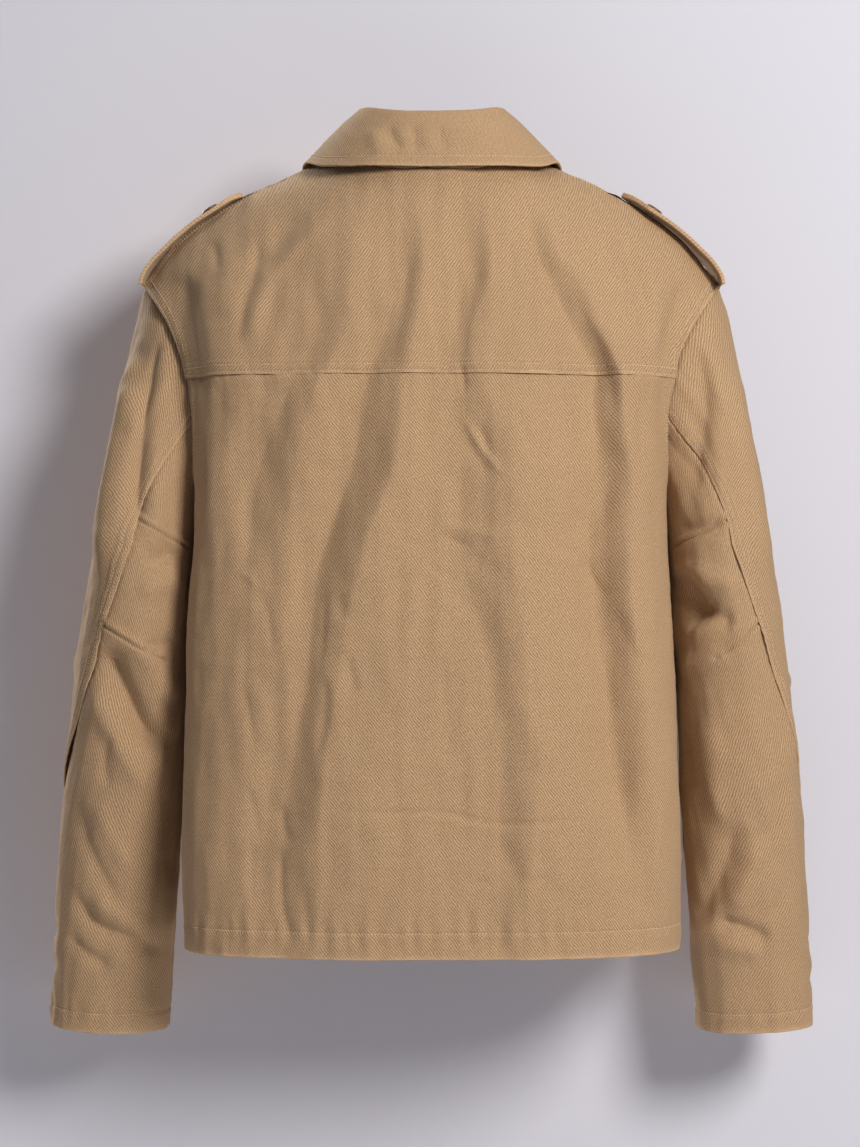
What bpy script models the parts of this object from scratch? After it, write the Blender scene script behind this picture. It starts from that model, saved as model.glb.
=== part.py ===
"""Harrington jacket in cotton twill, filled out as when it is worn, with no wearer.

Metres, +Z up. The front faces -Y, the wearer's left is +X. The origin is at the height of the
back neck seam, in the middle of the neck. Every cloth piece is a thin wall between an outer
grid of points and the same grid moved inwards. Cut pieces stay SEAM apart.
"""
import math

import bmesh
import bpy
import numpy as np
from mathutils import Matrix, Vector

# ---------------------------------------------------------------- driving dimensions
WALL = 0.0018              # cloth wall
HEM_WALL = 0.0032          # double cloth of the turned hem and cuff
SEAM = 0.0003              # gap between two pieces
HALF_SEAM = SEAM / 2
ARM_GAP = 0.0002           # each piece's share of the gap along the armhole
SLEEVE_GAP = 0.0002        # and along the sleeve's two seams

YOKE_Z = -0.180            # height of the back yoke seam
UNDERARM_Z = -0.296
HEM_TOP_Z = -0.621
HEM_Z = -0.643
BODY_POWER = 2.8           # squareness of the body's level sections
SLEEVE_POWER = 2.2         # squareness of the sleeve's sections
ZIP_EDGE = 0.0055          # half the opening between the two fronts

BACK_COLS = 20             # columns of the back, left side seam to right side seam
FRONT_COLS = 10            # columns of one front, side seam to zip
RIDGE_COLS = 4             # of those, the columns that start on the shoulder seam
UPPER_ROWS = 5             # rows from the shoulder to the yoke seam
ARM_ROWS = 9               # row at the underarm
BODY_ROWS = 20             # row at the hem
ARM_POINTS = 2 * ARM_ROWS  # points round the armhole

# Body sections: height, half width, depth behind and depth in front of the middle.
BODY = dict(
    z=[-0.180, -0.200, -0.230, -0.260, -0.296, -0.350, -0.428, -0.500, -0.586, -0.643],
    half=[0.2030, 0.1980, 0.1936, 0.1912, 0.1905, 0.1935, 0.1980, 0.2005, 0.2030, 0.2012],
    back=[0.1180, 0.1190, 0.1200, 0.1208, 0.1218, 0.1235, 0.1255, 0.1265, 0.1270, 0.1262],
    front=[0.1130, 0.1150, 0.1180, 0.1205, 0.1225, 0.1245, 0.1260, 0.1255, 0.1240, 0.1225],
)
# Depth of the armhole's edge behind and in front of the side seam, below the yoke seam.
ARMHOLE = dict(
    z=[-0.180, -0.200, -0.230, -0.260, -0.280, -0.296],
    back=[0.0490, 0.0500, 0.0450, 0.0340, 0.0210, 0.0],
    front=[0.0550, 0.0560, 0.0510, 0.0400, 0.0260, 0.0],
)
# Shoulder seam, from the neck to the top of the armhole.
SHOULDER_Y = -0.004
SHOULDER = dict(
    x=[0.0795, 0.1120, 0.1460, 0.1580, 0.1742, 0.1921, 0.2069, 0.2173, 0.2247, 0.2321, 0.2385],
    z=[0.0105, -0.0045, -0.0203, -0.0262, -0.0362, -0.0481, -0.0600, -0.0704, -0.0801, -0.0915,
       -0.1005],
)
# Neck stations, centre back to centre front: neck seam, fold of the collar, edge of the fall.
NECK = dict(
    seam=[(0.0, 0.074, -0.012), (0.036, 0.068, -0.0105), (0.064, 0.043, 0.0005),
          (0.0795, -0.004, 0.0105), (0.073, -0.045, -0.0115), (0.046, -0.083, -0.0445),
          (ZIP_EDGE, -0.104, -0.064)],
    fold=[(0.0, 0.061, 0.0365), (0.033, 0.054, 0.0385), (0.057, 0.030, 0.0440),
          (0.0630, -0.006, 0.0430), (0.058, -0.046, 0.021), (0.036, -0.083, -0.012),
          (ZIP_EDGE, -0.105, -0.036)],
    edge=[(0.0, 0.0930, -0.0125), (0.051, 0.0850, -0.0105), (0.088, 0.0520, -0.0055),
          (0.1065, 0.0030, 0.0036), (0.1065, -0.052, -0.0185), (0.086, -0.096, -0.064),
          (0.044, -0.1235, -0.118)],
)
SIDE_STATION = 3
LAST_STATION = 6
# Collar fall across the fold: distance outwards and upwards from the fold's crest.
FOLD_PATH = [(-0.0064, -0.0050), (-0.0052, -0.0008), (-0.0012, -0.0002)]
STAND_TOP = (-0.0046, -0.00545)

# Direction in which the cloth leaves the shoulder or neck, and in which it meets the yoke's
# level seen from below, by column from the armhole to the middle.
BACK_FLOW = dict(
    col=[0, 2, 4, 7, 10],
    leave=[(-0.28, 0.86, -0.38), (-0.12, 0.93, -0.27), (0.0, 0.90, -0.35), (0.0, 0.60, -0.72),
           (0.0, 0.38, -0.90)],
    meet=[(0.22, -0.12, 1.0), (0.10, -0.10, 1.0), (0.05, -0.06, 1.0), (0.02, -0.03, 1.0),
          (0.0, -0.02, 1.0)],
)
FRONT_FLOW = dict(
    col=[0, 2, 4, 7, 10],
    leave=[(-0.28, -0.86, -0.38), (-0.12, -0.93, -0.27), (0.0, -0.90, -0.38), (0.0, -0.55, -0.80),
           (0.0, -0.16, -0.98)],
    meet=[(0.22, 0.14, 1.0), (0.10, 0.12, 1.0), (0.05, 0.09, 1.0), (0.02, 0.07, 1.0),
          (0.0, 0.055, 1.0)],
)
FLOW_LENGTH = 0.38

# Sleeve stations: height of the middle, outer and inner edge, depth of the middle, half depth,
# rise of the section outwards and backwards, angle of the elbow seam from the outer side.
SLEEVE = dict(
    z=[-0.315, -0.380, -0.450, -0.550, -0.650, -0.7015, -0.7175],
    outer=[0.2795, 0.2905, 0.2990, 0.3105, 0.3190, 0.3215, 0.3222],
    inner=[0.1952, 0.2005, 0.2050, 0.2105, 0.2185, 0.2230, 0.2238],
    y=[0.002, 0.000, -0.007, -0.022, -0.037, -0.044, -0.046],
    depth=[0.0715, 0.0665, 0.0600, 0.0520, 0.0450, 0.0415, 0.0408],
    rise_out=[0.02, 0.08, 0.10, 0.09, 0.07, 0.05, 0.04],
    rise_back=[0.00, -0.02, -0.06, -0.08, -0.08, -0.07, -0.06],
    elbow=[85.0, 65.0, 42.0, -8.0, -28.0, -35.0, -36.0],
)
INNER_SEAM = 180.0         # angle of the sleeve's inner seam
ELBOW_POINT = 6            # armhole point where the elbow seam starts
# Where each armhole point arrives on the first sleeve station, and how it leaves the armhole.
CAP = dict(
    point=[0, 2.5, 5, 6, 7.5, 9, 10.5, 13, 15.5, 18],
    angle=[0, 36, 75, 85, 130, 180, 222, 262, 312, 360],
    leave=[(0.30, 0.0, -0.95), (0.42, 0.42, -0.80), (0.60, 0.30, -0.74), (0.58, 0.24, -0.78),
           (0.38, 0.12, -0.92), (0.14, 0.0, -0.99), (0.38, -0.12, -0.92), (0.60, -0.30, -0.74),
           (0.42, -0.42, -0.80), (0.30, 0.0, -0.95)],
)
ARM_CENTRE = np.array([0.200, 0.0, -0.200])
ARM_OUTWARD = np.array([0.8, 0.0, -0.6])
UNDER_SPLIT = 3            # sleeve columns for each armhole point on the under piece
SLEEVE_ROWS = [0.0, 0.25, 0.5, 0.75, 1.0, 1.5, 2.0, 2.5, 3.0, 3.5, 4.0, 4.5, 5.0, 6.0, 7.0]

# Largest folds: the face of the garment that carries it, start and end (x, z), half width and
# depth. They run out over FOLD_FADE of their length at each end.
FOLD_FADE = 0.2
FOLDS = [
    dict(side="back", x0=0.064, z0=-0.160, x1=0.120, z1=-0.643, wide=0.026, deep=0.0075),
    dict(side="back", x0=-0.128, z0=-0.170, x1=-0.142, z1=-0.620, wide=0.022, deep=0.0080),
    dict(side="back", x0=-0.012, z0=-0.120, x1=-0.052, z1=-0.560, wide=0.022, deep=0.0050),
    dict(side="back", x0=0.200, z0=-0.085, x1=0.184, z1=-0.235, wide=0.014, deep=0.0070),
    dict(side="back", x0=-0.080, z0=-0.055, x1=-0.128, z1=-0.195, wide=0.018, deep=0.0060),
    dict(side="back", x0=0.104, z0=-0.045, x1=0.158, z1=-0.150, wide=0.016, deep=0.0045),
    dict(side="back", x0=-0.204, z0=-0.090, x1=-0.184, z1=-0.180, wide=0.014, deep=0.0055),
    dict(side="front", x0=0.055, z0=-0.150, x1=0.105, z1=-0.620, wide=0.026, deep=0.0050),
    dict(side="front", x0=-0.070, z0=-0.160, x1=-0.120, z1=-0.600, wide=0.026, deep=0.0050),
    dict(side="front", x0=0.140, z0=-0.080, x1=0.128, z1=-0.330, wide=0.018, deep=0.0040),
    dict(side="front", x0=-0.150, z0=-0.090, x1=-0.130, z1=-0.300, wide=0.020, deep=0.0040),
    dict(side="sleeve_back", x0=0.246, z0=-0.392, x1=0.212, z1=-0.480, wide=0.018, deep=0.0060),
    dict(side="sleeve_back", x0=0.243, z0=-0.296, x1=0.196, z1=-0.325, wide=0.018, deep=0.0055),
    dict(side="sleeve_back", x0=-0.236, z0=-0.372, x1=-0.200, z1=-0.355, wide=0.020, deep=0.0065),
    dict(side="sleeve_back", x0=-0.252, z0=-0.540, x1=-0.226, z1=-0.620, wide=0.018, deep=0.0055),
    dict(side="sleeve_back", x0=0.277, z0=-0.585, x1=0.226, z1=-0.652, wide=0.016, deep=0.0050),
]

# Epaulettes: upper face from the armhole seam to the point, with its half width and thickness.
EPAULETTE = dict(
    x=[0.2418, 0.2398, 0.2332, 0.2237, 0.2100, 0.1955, 0.1800, 0.1690, 0.1597],
    z=[-0.0985, -0.0905, -0.0800, -0.0700, -0.0570, -0.0456, -0.0350, -0.0266, -0.0219],
    half=[0.0235, 0.0235, 0.0232, 0.0228, 0.0222, 0.0216, 0.0210, 0.0125, 0.0030],
    thick=[0.0030, 0.0032, 0.0032, 0.0032, 0.0032, 0.0032, 0.0034, 0.0040, 0.0044],
)
EPAULETTE_COLS = 4
BUTTON_ROW = 5.75          # place of the button along the epaulette's rows
BUTTON_RADIUS = 0.0075
BUTTON_HEIGHT = 0.0026
BUTTON_SIDES = 20
# Button's half section, as shares of its radius and height.
BUTTON_PROFILE = dict(
    out=[0.0, 0.82, 1.0, 1.0, 0.90, 0.72, 0.60, 0.0],
    up=[0.0, 0.0, 0.35, 0.75, 1.0, 0.92, 0.68, 0.62],
)

# Zip.
TAPE_INNER = 0.0012
TAPE_OUTER = 0.0150
TAPE_TUCK = 0.0014         # the tape's outer edge lies this much deeper than its inner edge
TAPE_WALL = 0.0010
CHAIN_HALF = 0.0030
CHAIN_WALL = 0.0022
CHAIN_TOP = 0.6            # first and last body row reached by the chain
CHAIN_END = 19.5
BOX_SIZE = (0.0090, 0.0040, 0.0095)
SLIDER_ROW = 1.15          # body row at the middle of the slider
SLIDER_LENGTH = 0.0125
SLIDER_TOP_HALF = 0.0049
SLIDER_END_HALF = 0.0042
SLIDER_PLATE = 0.0018
FLANGE_WIDE = 0.0010
FLANGE_DEEP = 0.0018
BAIL_BAR = 0.0012
BAIL_REACH = 0.0042        # half the bail's length
BAIL_RISE = 0.0044         # height of the bail above the slider's plate
BAIL_HALF = 0.0011
PULL_AXIS_RISE = 0.0016    # height of the pull's axis above the slider's plate
PULL_THICK = 0.0012
PULL_LENGTH = 0.0300
PULL_BAR = 0.0008          # half the bar that turns in the bail
PULL_WINDOW_HALF = 0.0018
PULL_WINDOW_END = 0.0064
PULL_TOP_HALF = 0.0033
PULL_WAIST_HALF = 0.0026
PULL_END_HALF = 0.0036

CLOTH_COLOUR = (0.46, 0.315, 0.175)
TAPE_COLOUR = (0.40, 0.27, 0.15)
BUTTON_COLOUR = (0.20, 0.12, 0.06)
METAL_COLOUR = (0.60, 0.50, 0.33)


# ---------------------------------------------------------------- curves through tables
def curve(keys, values, x):
    """Smooth curve through a table's rows, read at x. Values may be numbers or points."""
    keys = np.asarray(keys, float)
    values = np.asarray(values, float)
    x = np.atleast_1d(np.asarray(x, float))
    if keys[0] > keys[-1]:
        keys = keys[::-1]
        values = values[::-1]
    slopes = np.gradient(values, keys, axis=0)
    x = np.clip(x, keys[0], keys[-1])
    i = np.clip(np.searchsorted(keys, x, side="right") - 1, 0, len(keys) - 2)
    step = keys[i + 1] - keys[i]
    t = (x - keys[i]) / step
    if values.ndim == 2:
        step = step[:, None]
        t = t[:, None]
    return hermite(values[i], slopes[i] * step, values[i + 1], slopes[i + 1] * step, t)


def hermite(p0, d0, p1, d1, t):
    a = 2 * t ** 3 - 3 * t ** 2 + 1
    b = t ** 3 - 2 * t ** 2 + t
    c = -2 * t ** 3 + 3 * t ** 2
    d = t ** 3 - t ** 2
    return a * p0 + b * d0 + c * p1 + d * d1


def unit(v):
    return v / np.linalg.norm(v, axis=-1, keepdims=True)


def mirrored(points):
    return points * np.array([-1.0, 1.0, 1.0])


# ---------------------------------------------------------------- body
def row_height(v):
    """Height of a body row at or below the yoke seam."""
    rows = [UPPER_ROWS, ARM_ROWS, BODY_ROWS - 1, BODY_ROWS]
    heights = [YOKE_Z, UNDERARM_Z, HEM_TOP_Z, HEM_Z]
    return float(np.interp(v, rows, heights))


def section(z, side, cols, to_zip):
    """Points of one level section, from the left edge, cols given as fractions of its length."""
    half = curve(BODY["z"], BODY["half"], z)[0]
    depth = curve(BODY["z"], BODY[side], z)[0]
    edge = curve(ARMHOLE["z"], ARMHOLE[side], z)[0] if z > UNDERARM_Z else 0.0
    start = math.asin((max(edge, 0.0) / depth) ** (BODY_POWER / 2))
    angle = np.linspace(start, math.pi - start, 1201)
    cos = np.cos(angle)
    sin = np.clip(np.sin(angle), 0.0, 1.0)
    x = half * np.sign(cos) * np.abs(cos) ** (2 / BODY_POWER)
    y = depth * sin ** (2 / BODY_POWER) * (1 if side == "back" else -1)
    if to_zip:
        keep = x >= ZIP_EDGE
        y_end = np.interp(-ZIP_EDGE, -x, y)
        x = np.append(x[keep], ZIP_EDGE)
        y = np.append(y[keep], y_end)
    run = np.concatenate([[0.0], np.cumsum(np.hypot(np.diff(x), np.diff(y)))])
    at = np.asarray(cols) * run[-1]
    return np.stack([np.interp(at, run, x), np.interp(at, run, y), np.full(len(at), z)], axis=1)


def neck_line(name, station):
    """Point on a neck line, station 0 at the centre back, 6 at the zip."""
    rows = np.array(NECK[name], float)
    ghost = mirrored(rows[1:2])
    keys = np.arange(-1, len(rows))
    return curve(keys, np.concatenate([ghost, rows]), station)


def top_line(col, side):
    """Upper boundary of the body on the left half: shoulder seam, then neck seam."""
    if col <= RIDGE_COLS:
        x_neck = SHOULDER["x"][0]
        x_arm = SHOULDER["x"][-1]
        x = x_arm + (x_neck - x_arm) * col / RIDGE_COLS
        return np.array([x, SHOULDER_Y, curve(SHOULDER["x"], SHOULDER["z"], x)[0]])
    share = (col - RIDGE_COLS) / (BACK_COLS / 2 - RIDGE_COLS)
    if side == "back":
        return neck_line("seam", SIDE_STATION * (1 - share))[0]
    return neck_line("seam", SIDE_STATION + (LAST_STATION - SIDE_STATION) * share)[0]


def body_surface(side, cols, rows):
    """Grid of points on the body without folds. Columns run from the left side."""
    flow = BACK_FLOW if side == "back" else FRONT_FLOW
    last = BACK_COLS if side == "back" else FRONT_COLS
    share = np.asarray(cols, float) / last
    grid = np.zeros((len(rows), len(cols), 3))
    level = section(YOKE_Z, side, share, side == "front")
    for j, col in enumerate(cols):
        flip = col > BACK_COLS / 2
        near = BACK_COLS - col if flip else col
        top = top_line(near, side)
        leave = unit(curve(flow["col"], flow["leave"], near))[0]
        meet = unit(curve(flow["col"], flow["meet"], near))[0]
        if flip:
            top, leave, meet = mirrored(top), mirrored(leave), mirrored(meet)
        reach = np.linalg.norm(level[j] - top) * FLOW_LENGTH
        for i, row in enumerate(rows):
            t = row / UPPER_ROWS
            if t < 1:
                grid[i, j] = ((1 - t) ** 3 * top + 3 * (1 - t) ** 2 * t * (top + leave * reach)
                              + 3 * (1 - t) * t ** 2 * (level[j] + meet * reach)
                              + t ** 3 * level[j])
    for i, row in enumerate(rows):
        if row >= UPPER_ROWS:
            grid[i] = section(row_height(row), side, share, side == "front")
    return grid


def surface_normals(surface, cols, rows, low_row, high_row, low_col, high_col):
    """Outward normals of surface(cols, rows), from small steps along its columns and rows."""
    step = 0.02
    cols = np.asarray(cols, float)
    rows = np.asarray(rows, float)
    right = surface(np.clip(cols + step, low_col, high_col), rows)
    left = surface(np.clip(cols - step, low_col, high_col), rows)
    down = surface(cols, np.clip(rows + step, low_row, high_row))
    up = surface(cols, np.clip(rows - step, low_row, high_row))
    return unit(np.cross(down - up, right - left))


def armhole_inwards(point):
    """Direction of the cloth's thickness along the left armhole, shared by body and sleeve."""
    return unit(unit(ARM_CENTRE - point) + np.array([-0.6, 0.0, 0.0]))


def shoulder_normal(x):
    dz = curve(SHOULDER["x"], SHOULDER["z"], x + 0.001)[0] - curve(
        SHOULDER["x"], SHOULDER["z"], x - 0.001)[0]
    return unit(np.array([-dz, 0.0, 0.002]))


def fold_depth(side, points):
    """Depth of the largest folds at some points, 0 away from them."""
    total = np.zeros(points.shape[:-1])
    for fold in [row for row in FOLDS if row["side"] == side]:
        start = np.array([fold["x0"], fold["z0"]])
        run = np.array([fold["x1"], fold["z1"]]) - start
        flat = points[..., [0, 2]] - start
        along = flat @ run / (run @ run)
        across = (flat[..., 0] * run[1] - flat[..., 1] * run[0]) / np.linalg.norm(run)
        ends = np.clip(np.minimum(along, 1 - along) / FOLD_FADE + 0.5, 0, 1)
        shape = np.exp(-2 * (across / fold["wide"]) ** 2)
        total += fold["deep"] * shape * ends ** 2 * (3 - 2 * ends)
    return total


def body_panel(side, cols, rows, hand=1):
    """One cut piece of the body: the rows and columns of the body's grid that it covers.

    With hand -1 the piece is the mirror image, with the folds of the side it goes to.
    """
    last = BACK_COLS if side == "back" else FRONT_COLS
    cols = np.asarray(cols, float)
    rows = np.asarray(rows, float)

    def surface(c, r):
        return body_surface(side, c, r)

    outer = surface(cols, rows)
    normal = surface_normals(surface, cols, rows, 0, BODY_ROWS, 0, last)
    if side == "front":
        normal = -normal
    turn = 1 if side == "back" else -1
    folds = fold_depth(side, outer * np.array([hand, 1, 1]))
    walls = np.full(outer.shape[:2], WALL)
    for i, row in enumerate(rows):
        for j, col in enumerate(cols):
            near = BACK_COLS - col if col > BACK_COLS / 2 else col
            sign = -1 if col > BACK_COLS / 2 else 1
            flip = np.array([sign, 1, 1])
            on_edge = near == 0
            on_tape = side == "front" and near >= FRONT_COLS - 1
            if on_edge:
                folds[i, j] = 0.0
            if row >= BODY_ROWS - 1 and not on_tape:
                walls[i, j] = HEM_WALL
            if row == BODY_ROWS or row == UPPER_ROWS:
                normal[i, j] = unit(normal[i, j] * np.array([1, 1, 0]))
            if on_edge and row > ARM_ROWS:
                normal[i, j] = np.array([sign, 0, 0])
                outer[i, j, 1] += turn * HALF_SEAM
            if row == 0 and near <= RIDGE_COLS:
                normal[i, j] = shoulder_normal(abs(outer[i, j, 0])) * flip
                outer[i, j, 1] += turn * HALF_SEAM
                folds[i, j] = 0.0
            if row == 0 and near > RIDGE_COLS:
                outer[i, j] += unit(outer[i + 1, j] - outer[i, j]) * HALF_SEAM
                folds[i, j] = 0.0
            if on_edge and row <= ARM_ROWS:
                normal[i, j] = -armhole_inwards(outer[i, j] * flip) * flip
                outer[i, j] -= ARM_OUTWARD * flip * ARM_GAP
    outer = outer - normal * folds[..., None]
    if side == "back" and rows[-1] == UPPER_ROWS:
        outer[-1, :, 2] += HALF_SEAM
    if side == "back" and rows[0] == UPPER_ROWS:
        outer[0, :, 2] -= HALF_SEAM
    if hand < 0:
        return mirrored(outer)[:, ::-1], mirrored(normal)[:, ::-1], walls[:, ::-1]
    return outer, normal, walls


# ---------------------------------------------------------------- sleeves (left, then mirrored)
def armhole_point(index):
    """Point of the left armhole, on the straight run between two rows of the body."""
    index = index % ARM_POINTS
    low = int(math.floor(index))
    share = index - low
    points = []
    for k in (low, low + 1):
        k = k % ARM_POINTS
        if k <= ARM_ROWS:
            points.append(body_surface("back", [0], [k])[0, 0])
        else:
            points.append(body_surface("front", [0], [ARM_POINTS - k])[0, 0])
    return points[0] * (1 - share) + points[1] * share


def tube_point(angle, station):
    """Point of the sleeve below the cap, station 1 at the underarm, 7 at the cuff's edge."""
    keys = np.arange(1, len(SLEEVE["z"]) + 1)

    def read(name):
        return curve(keys, SLEEVE[name], station)[0]

    half = (read("outer") - read("inner")) / 2
    cos = math.cos(angle)
    sin = math.sin(angle)
    dx = half * math.copysign(abs(cos) ** (2 / SLEEVE_POWER), cos)
    dy = read("depth") * math.copysign(abs(sin) ** (2 / SLEEVE_POWER), sin)
    z = read("z") + read("rise_out") * dx + read("rise_back") * dy
    return np.array([read("inner") + half + dx, read("y") + dy, z])


def sleeve_surface(piece, cols, rows):
    """Grid on a sleeve piece: columns as armhole points, row 0 at the armhole, 7 at the cuff."""
    stations = np.arange(1, len(SLEEVE["z"]) + 1)
    first, last = (ELBOW_POINT, ARM_ROWS) if piece == "under" else (ARM_ROWS, ARM_POINTS
                                                                   + ELBOW_POINT)
    angle_keys = np.array(CAP["point"], float)

    def cap_angle(c):
        turns = math.floor(c / ARM_POINTS)
        return float(np.interp(c - turns * ARM_POINTS, angle_keys, CAP["angle"])) + 360 * turns

    start, end = cap_angle(first), cap_angle(last)
    grid = np.zeros((len(rows), len(cols), 3))
    for j, c in enumerate(cols):
        arm = armhole_point(c)
        leave = unit(curve(angle_keys, CAP["leave"], c % ARM_POINTS))[0]
        share = (cap_angle(c) - start) / (end - start)
        low = tube_point(math.radians(cap_angle(c)), 1.0)
        below = tube_point(math.radians(cap_angle(c)), 1.1)
        chord = np.linalg.norm(low - arm)
        arrive = unit(below - low) * chord
        for i, row in enumerate(rows):
            if row < 1:
                grid[i, j] = hermite(arm, leave * chord, low, arrive, row)
                continue
            elbow = curve(stations, SLEEVE["elbow"], row)[0]
            if piece == "under":
                angle = elbow + (INNER_SEAM - elbow) * share
            else:
                angle = INNER_SEAM + (elbow + 360 - INNER_SEAM) * share
            grid[i, j] = tube_point(math.radians(angle), row)
    return grid


def sleeve_seam_normals(piece, rows):
    """Normals along a piece's first and last seam, halfway between the two pieces there."""
    ends = {}
    for part, first, last in (("under", ELBOW_POINT, ARM_ROWS),
                              ("upper", ARM_ROWS, ARM_POINTS + ELBOW_POINT)):
        def surface(c, r, part=part):
            return sleeve_surface(part, c, r)

        ends[part] = surface_normals(surface, [first, last], rows, 0, rows[-1], first, last)
    elbow = unit(ends["under"][:, 0] + ends["upper"][:, -1])
    inner = unit(ends["under"][:, -1] + ends["upper"][:, 0])
    return (elbow, inner) if piece == "under" else (inner, elbow)


def sleeve_panel(piece, hand):
    """One sleeve piece as outer points, normals and walls. With hand -1 it is the right one."""
    if piece == "under":
        count = (ARM_ROWS - ELBOW_POINT) * UNDER_SPLIT
        cols = ELBOW_POINT + np.arange(count + 1) / UNDER_SPLIT
    else:
        cols = np.arange(ARM_ROWS, ARM_POINTS + ELBOW_POINT + 1, dtype=float)
    rows = np.array(SLEEVE_ROWS)

    def surface(c, r):
        return sleeve_surface(piece, c, r)

    outer = surface(cols, rows)
    normal = surface_normals(surface, cols, rows, 0, rows[-1], cols[0], cols[-1])
    normal[:, 0], normal[:, -1] = sleeve_seam_normals(piece, rows)
    folds = fold_depth("sleeve_back", outer * np.array([hand, 1, 1]))
    folds *= np.clip(normal[..., 1] * 2, 0, 1)
    folds *= np.clip(rows, 0, 1)[:, None]
    walls = np.full(outer.shape[:2], WALL)
    walls[-2:, :] = HEM_WALL
    across = np.gradient(outer, axis=1)
    outer = outer - normal * folds[..., None]
    outer[:, 0] += unit(across[:, 0]) * SLEEVE_GAP
    outer[:, -1] -= unit(across[:, -1]) * SLEEVE_GAP
    for j in range(len(cols)):
        normal[0, j] = -armhole_inwards(outer[0, j])
        outer[0, j] += ARM_OUTWARD * ARM_GAP
    if hand < 0:
        return mirrored(outer)[:, ::-1], mirrored(normal)[:, ::-1], walls[:, ::-1]
    return outer, normal, walls


# ---------------------------------------------------------------- collar
def collar_grids():
    """Stand and fall: rows from the neck seam upwards, columns from the left zip edge round."""
    stations = np.linspace(LAST_STATION, 0, 2 * LAST_STATION + 1)
    seam = neck_line("seam", stations)
    fold = neck_line("fold", stations)
    edge = neck_line("edge", stations)
    along = neck_line("fold", np.clip(stations - 0.02, -1, LAST_STATION)) - neck_line(
        "fold", np.clip(stations + 0.02, -1, LAST_STATION))
    out = unit(np.stack([-along[:, 1], along[:, 0], np.zeros(len(along))], axis=1))
    out[0] = (0.0, -1.0, 0.0)
    out[-1] = (0.0, 1.0, 0.0)
    out = np.where((np.sum(out * fold, axis=1) < 0)[:, None], -out, out)
    up = np.array([0.0, 0.0, 1.0])

    def across(offset):
        return fold + out * offset[0] + up * offset[1]

    foot = seam + up * HALF_SEAM
    stand_top = across(STAND_TOP)
    stand = [foot, foot * 0.5 + stand_top * 0.5 - out * 0.0010, stand_top]
    crest = across(FOLD_PATH[-1])
    middle = crest * 0.48 + edge * 0.52 + out * 0.0012 + up * 0.0010
    fall = [across(offset) for offset in FOLD_PATH] + [middle, edge]
    return full_round(stand), full_round(fall), full_round([out])[0]


def full_round(half_rows):
    """Left half from the zip to the centre back, then its mirror image back to the zip."""
    return np.array([np.concatenate([row, mirrored(row[-2::-1])]) for row in half_rows])


# ---------------------------------------------------------------- meshes and materials
def material(name, colour, roughness, metallic=0.0):
    made = bpy.data.materials.new(name)
    made.use_nodes = True
    shader = made.node_tree.nodes["Principled BSDF"]
    shader.inputs["Base Color"].default_value = (*colour, 1.0)
    shader.inputs["Roughness"].default_value = roughness
    shader.inputs["Metallic"].default_value = metallic
    return made


def add_object(name, mesh_tool, made_of):
    bmesh.ops.recalc_face_normals(mesh_tool, faces=mesh_tool.faces)
    mesh = bpy.data.meshes.new(name)
    mesh_tool.to_mesh(mesh)
    mesh_tool.free()
    mesh.materials.append(made_of)
    piece = bpy.data.objects.new(name, mesh)
    bpy.context.scene.collection.objects.link(piece)
    return piece


def wall_piece(name, outer, normal, walls, made_of, smooth=True):
    """Closed wall between an outer grid and the same grid moved inwards."""
    rows, cols = outer.shape[:2]
    inner = outer - normal * walls[..., None]
    tool = bmesh.new()
    front = [[tool.verts.new(outer[i, j]) for j in range(cols)] for i in range(rows)]
    rear = [[tool.verts.new(inner[i, j]) for j in range(cols)] for i in range(rows)]
    for i in range(rows - 1):
        for j in range(cols - 1):
            tool.faces.new((front[i][j], front[i + 1][j], front[i + 1][j + 1], front[i][j + 1]))
            tool.faces.new((rear[i][j], rear[i][j + 1], rear[i + 1][j + 1], rear[i + 1][j]))
    for i in range(rows - 1):
        tool.faces.new((front[i][0], rear[i][0], rear[i + 1][0], front[i + 1][0]))
        tool.faces.new((front[i][-1], front[i + 1][-1], rear[i + 1][-1], rear[i][-1]))
    for j in range(cols - 1):
        tool.faces.new((front[0][j], front[0][j + 1], rear[0][j + 1], rear[0][j]))
        tool.faces.new((front[-1][j], rear[-1][j], rear[-1][j + 1], front[-1][j + 1]))
    piece = add_object(name, tool, made_of)
    if smooth:
        piece.data.shade_smooth()
        piece.data.set_sharp_from_angle(angle=math.radians(50))
    return piece


def prism(name, outline, low, high, made_of):
    """Outline in (x, z) pushed from depth low to depth high along -Y."""
    tool = bmesh.new()
    near = [tool.verts.new((x, -high, z)) for x, z in outline]
    far = [tool.verts.new((x, -low, z)) for x, z in outline]
    tool.faces.new(near)
    tool.faces.new(far[::-1])
    for k in range(len(outline)):
        n = (k + 1) % len(outline)
        tool.faces.new((near[k], near[n], far[n], far[k]))
    return add_object(name, tool, made_of)


def rectangle(x0, z0, x1, z1):
    return [(x0, z0), (x1, z0), (x1, z1), (x0, z1)]


def combine(base, other, operation):
    """Boolean of two objects, applied, and the second removed."""
    tool = base.modifiers.new("join", "BOOLEAN")
    tool.operation = operation
    tool.solver = "EXACT"
    tool.object = other
    bpy.context.view_layer.update()
    result = bpy.data.meshes.new_from_object(base.evaluated_get(
        bpy.context.evaluated_depsgraph_get()))
    base.modifiers.clear()
    base.data = result
    bpy.data.objects.remove(other)


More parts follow.
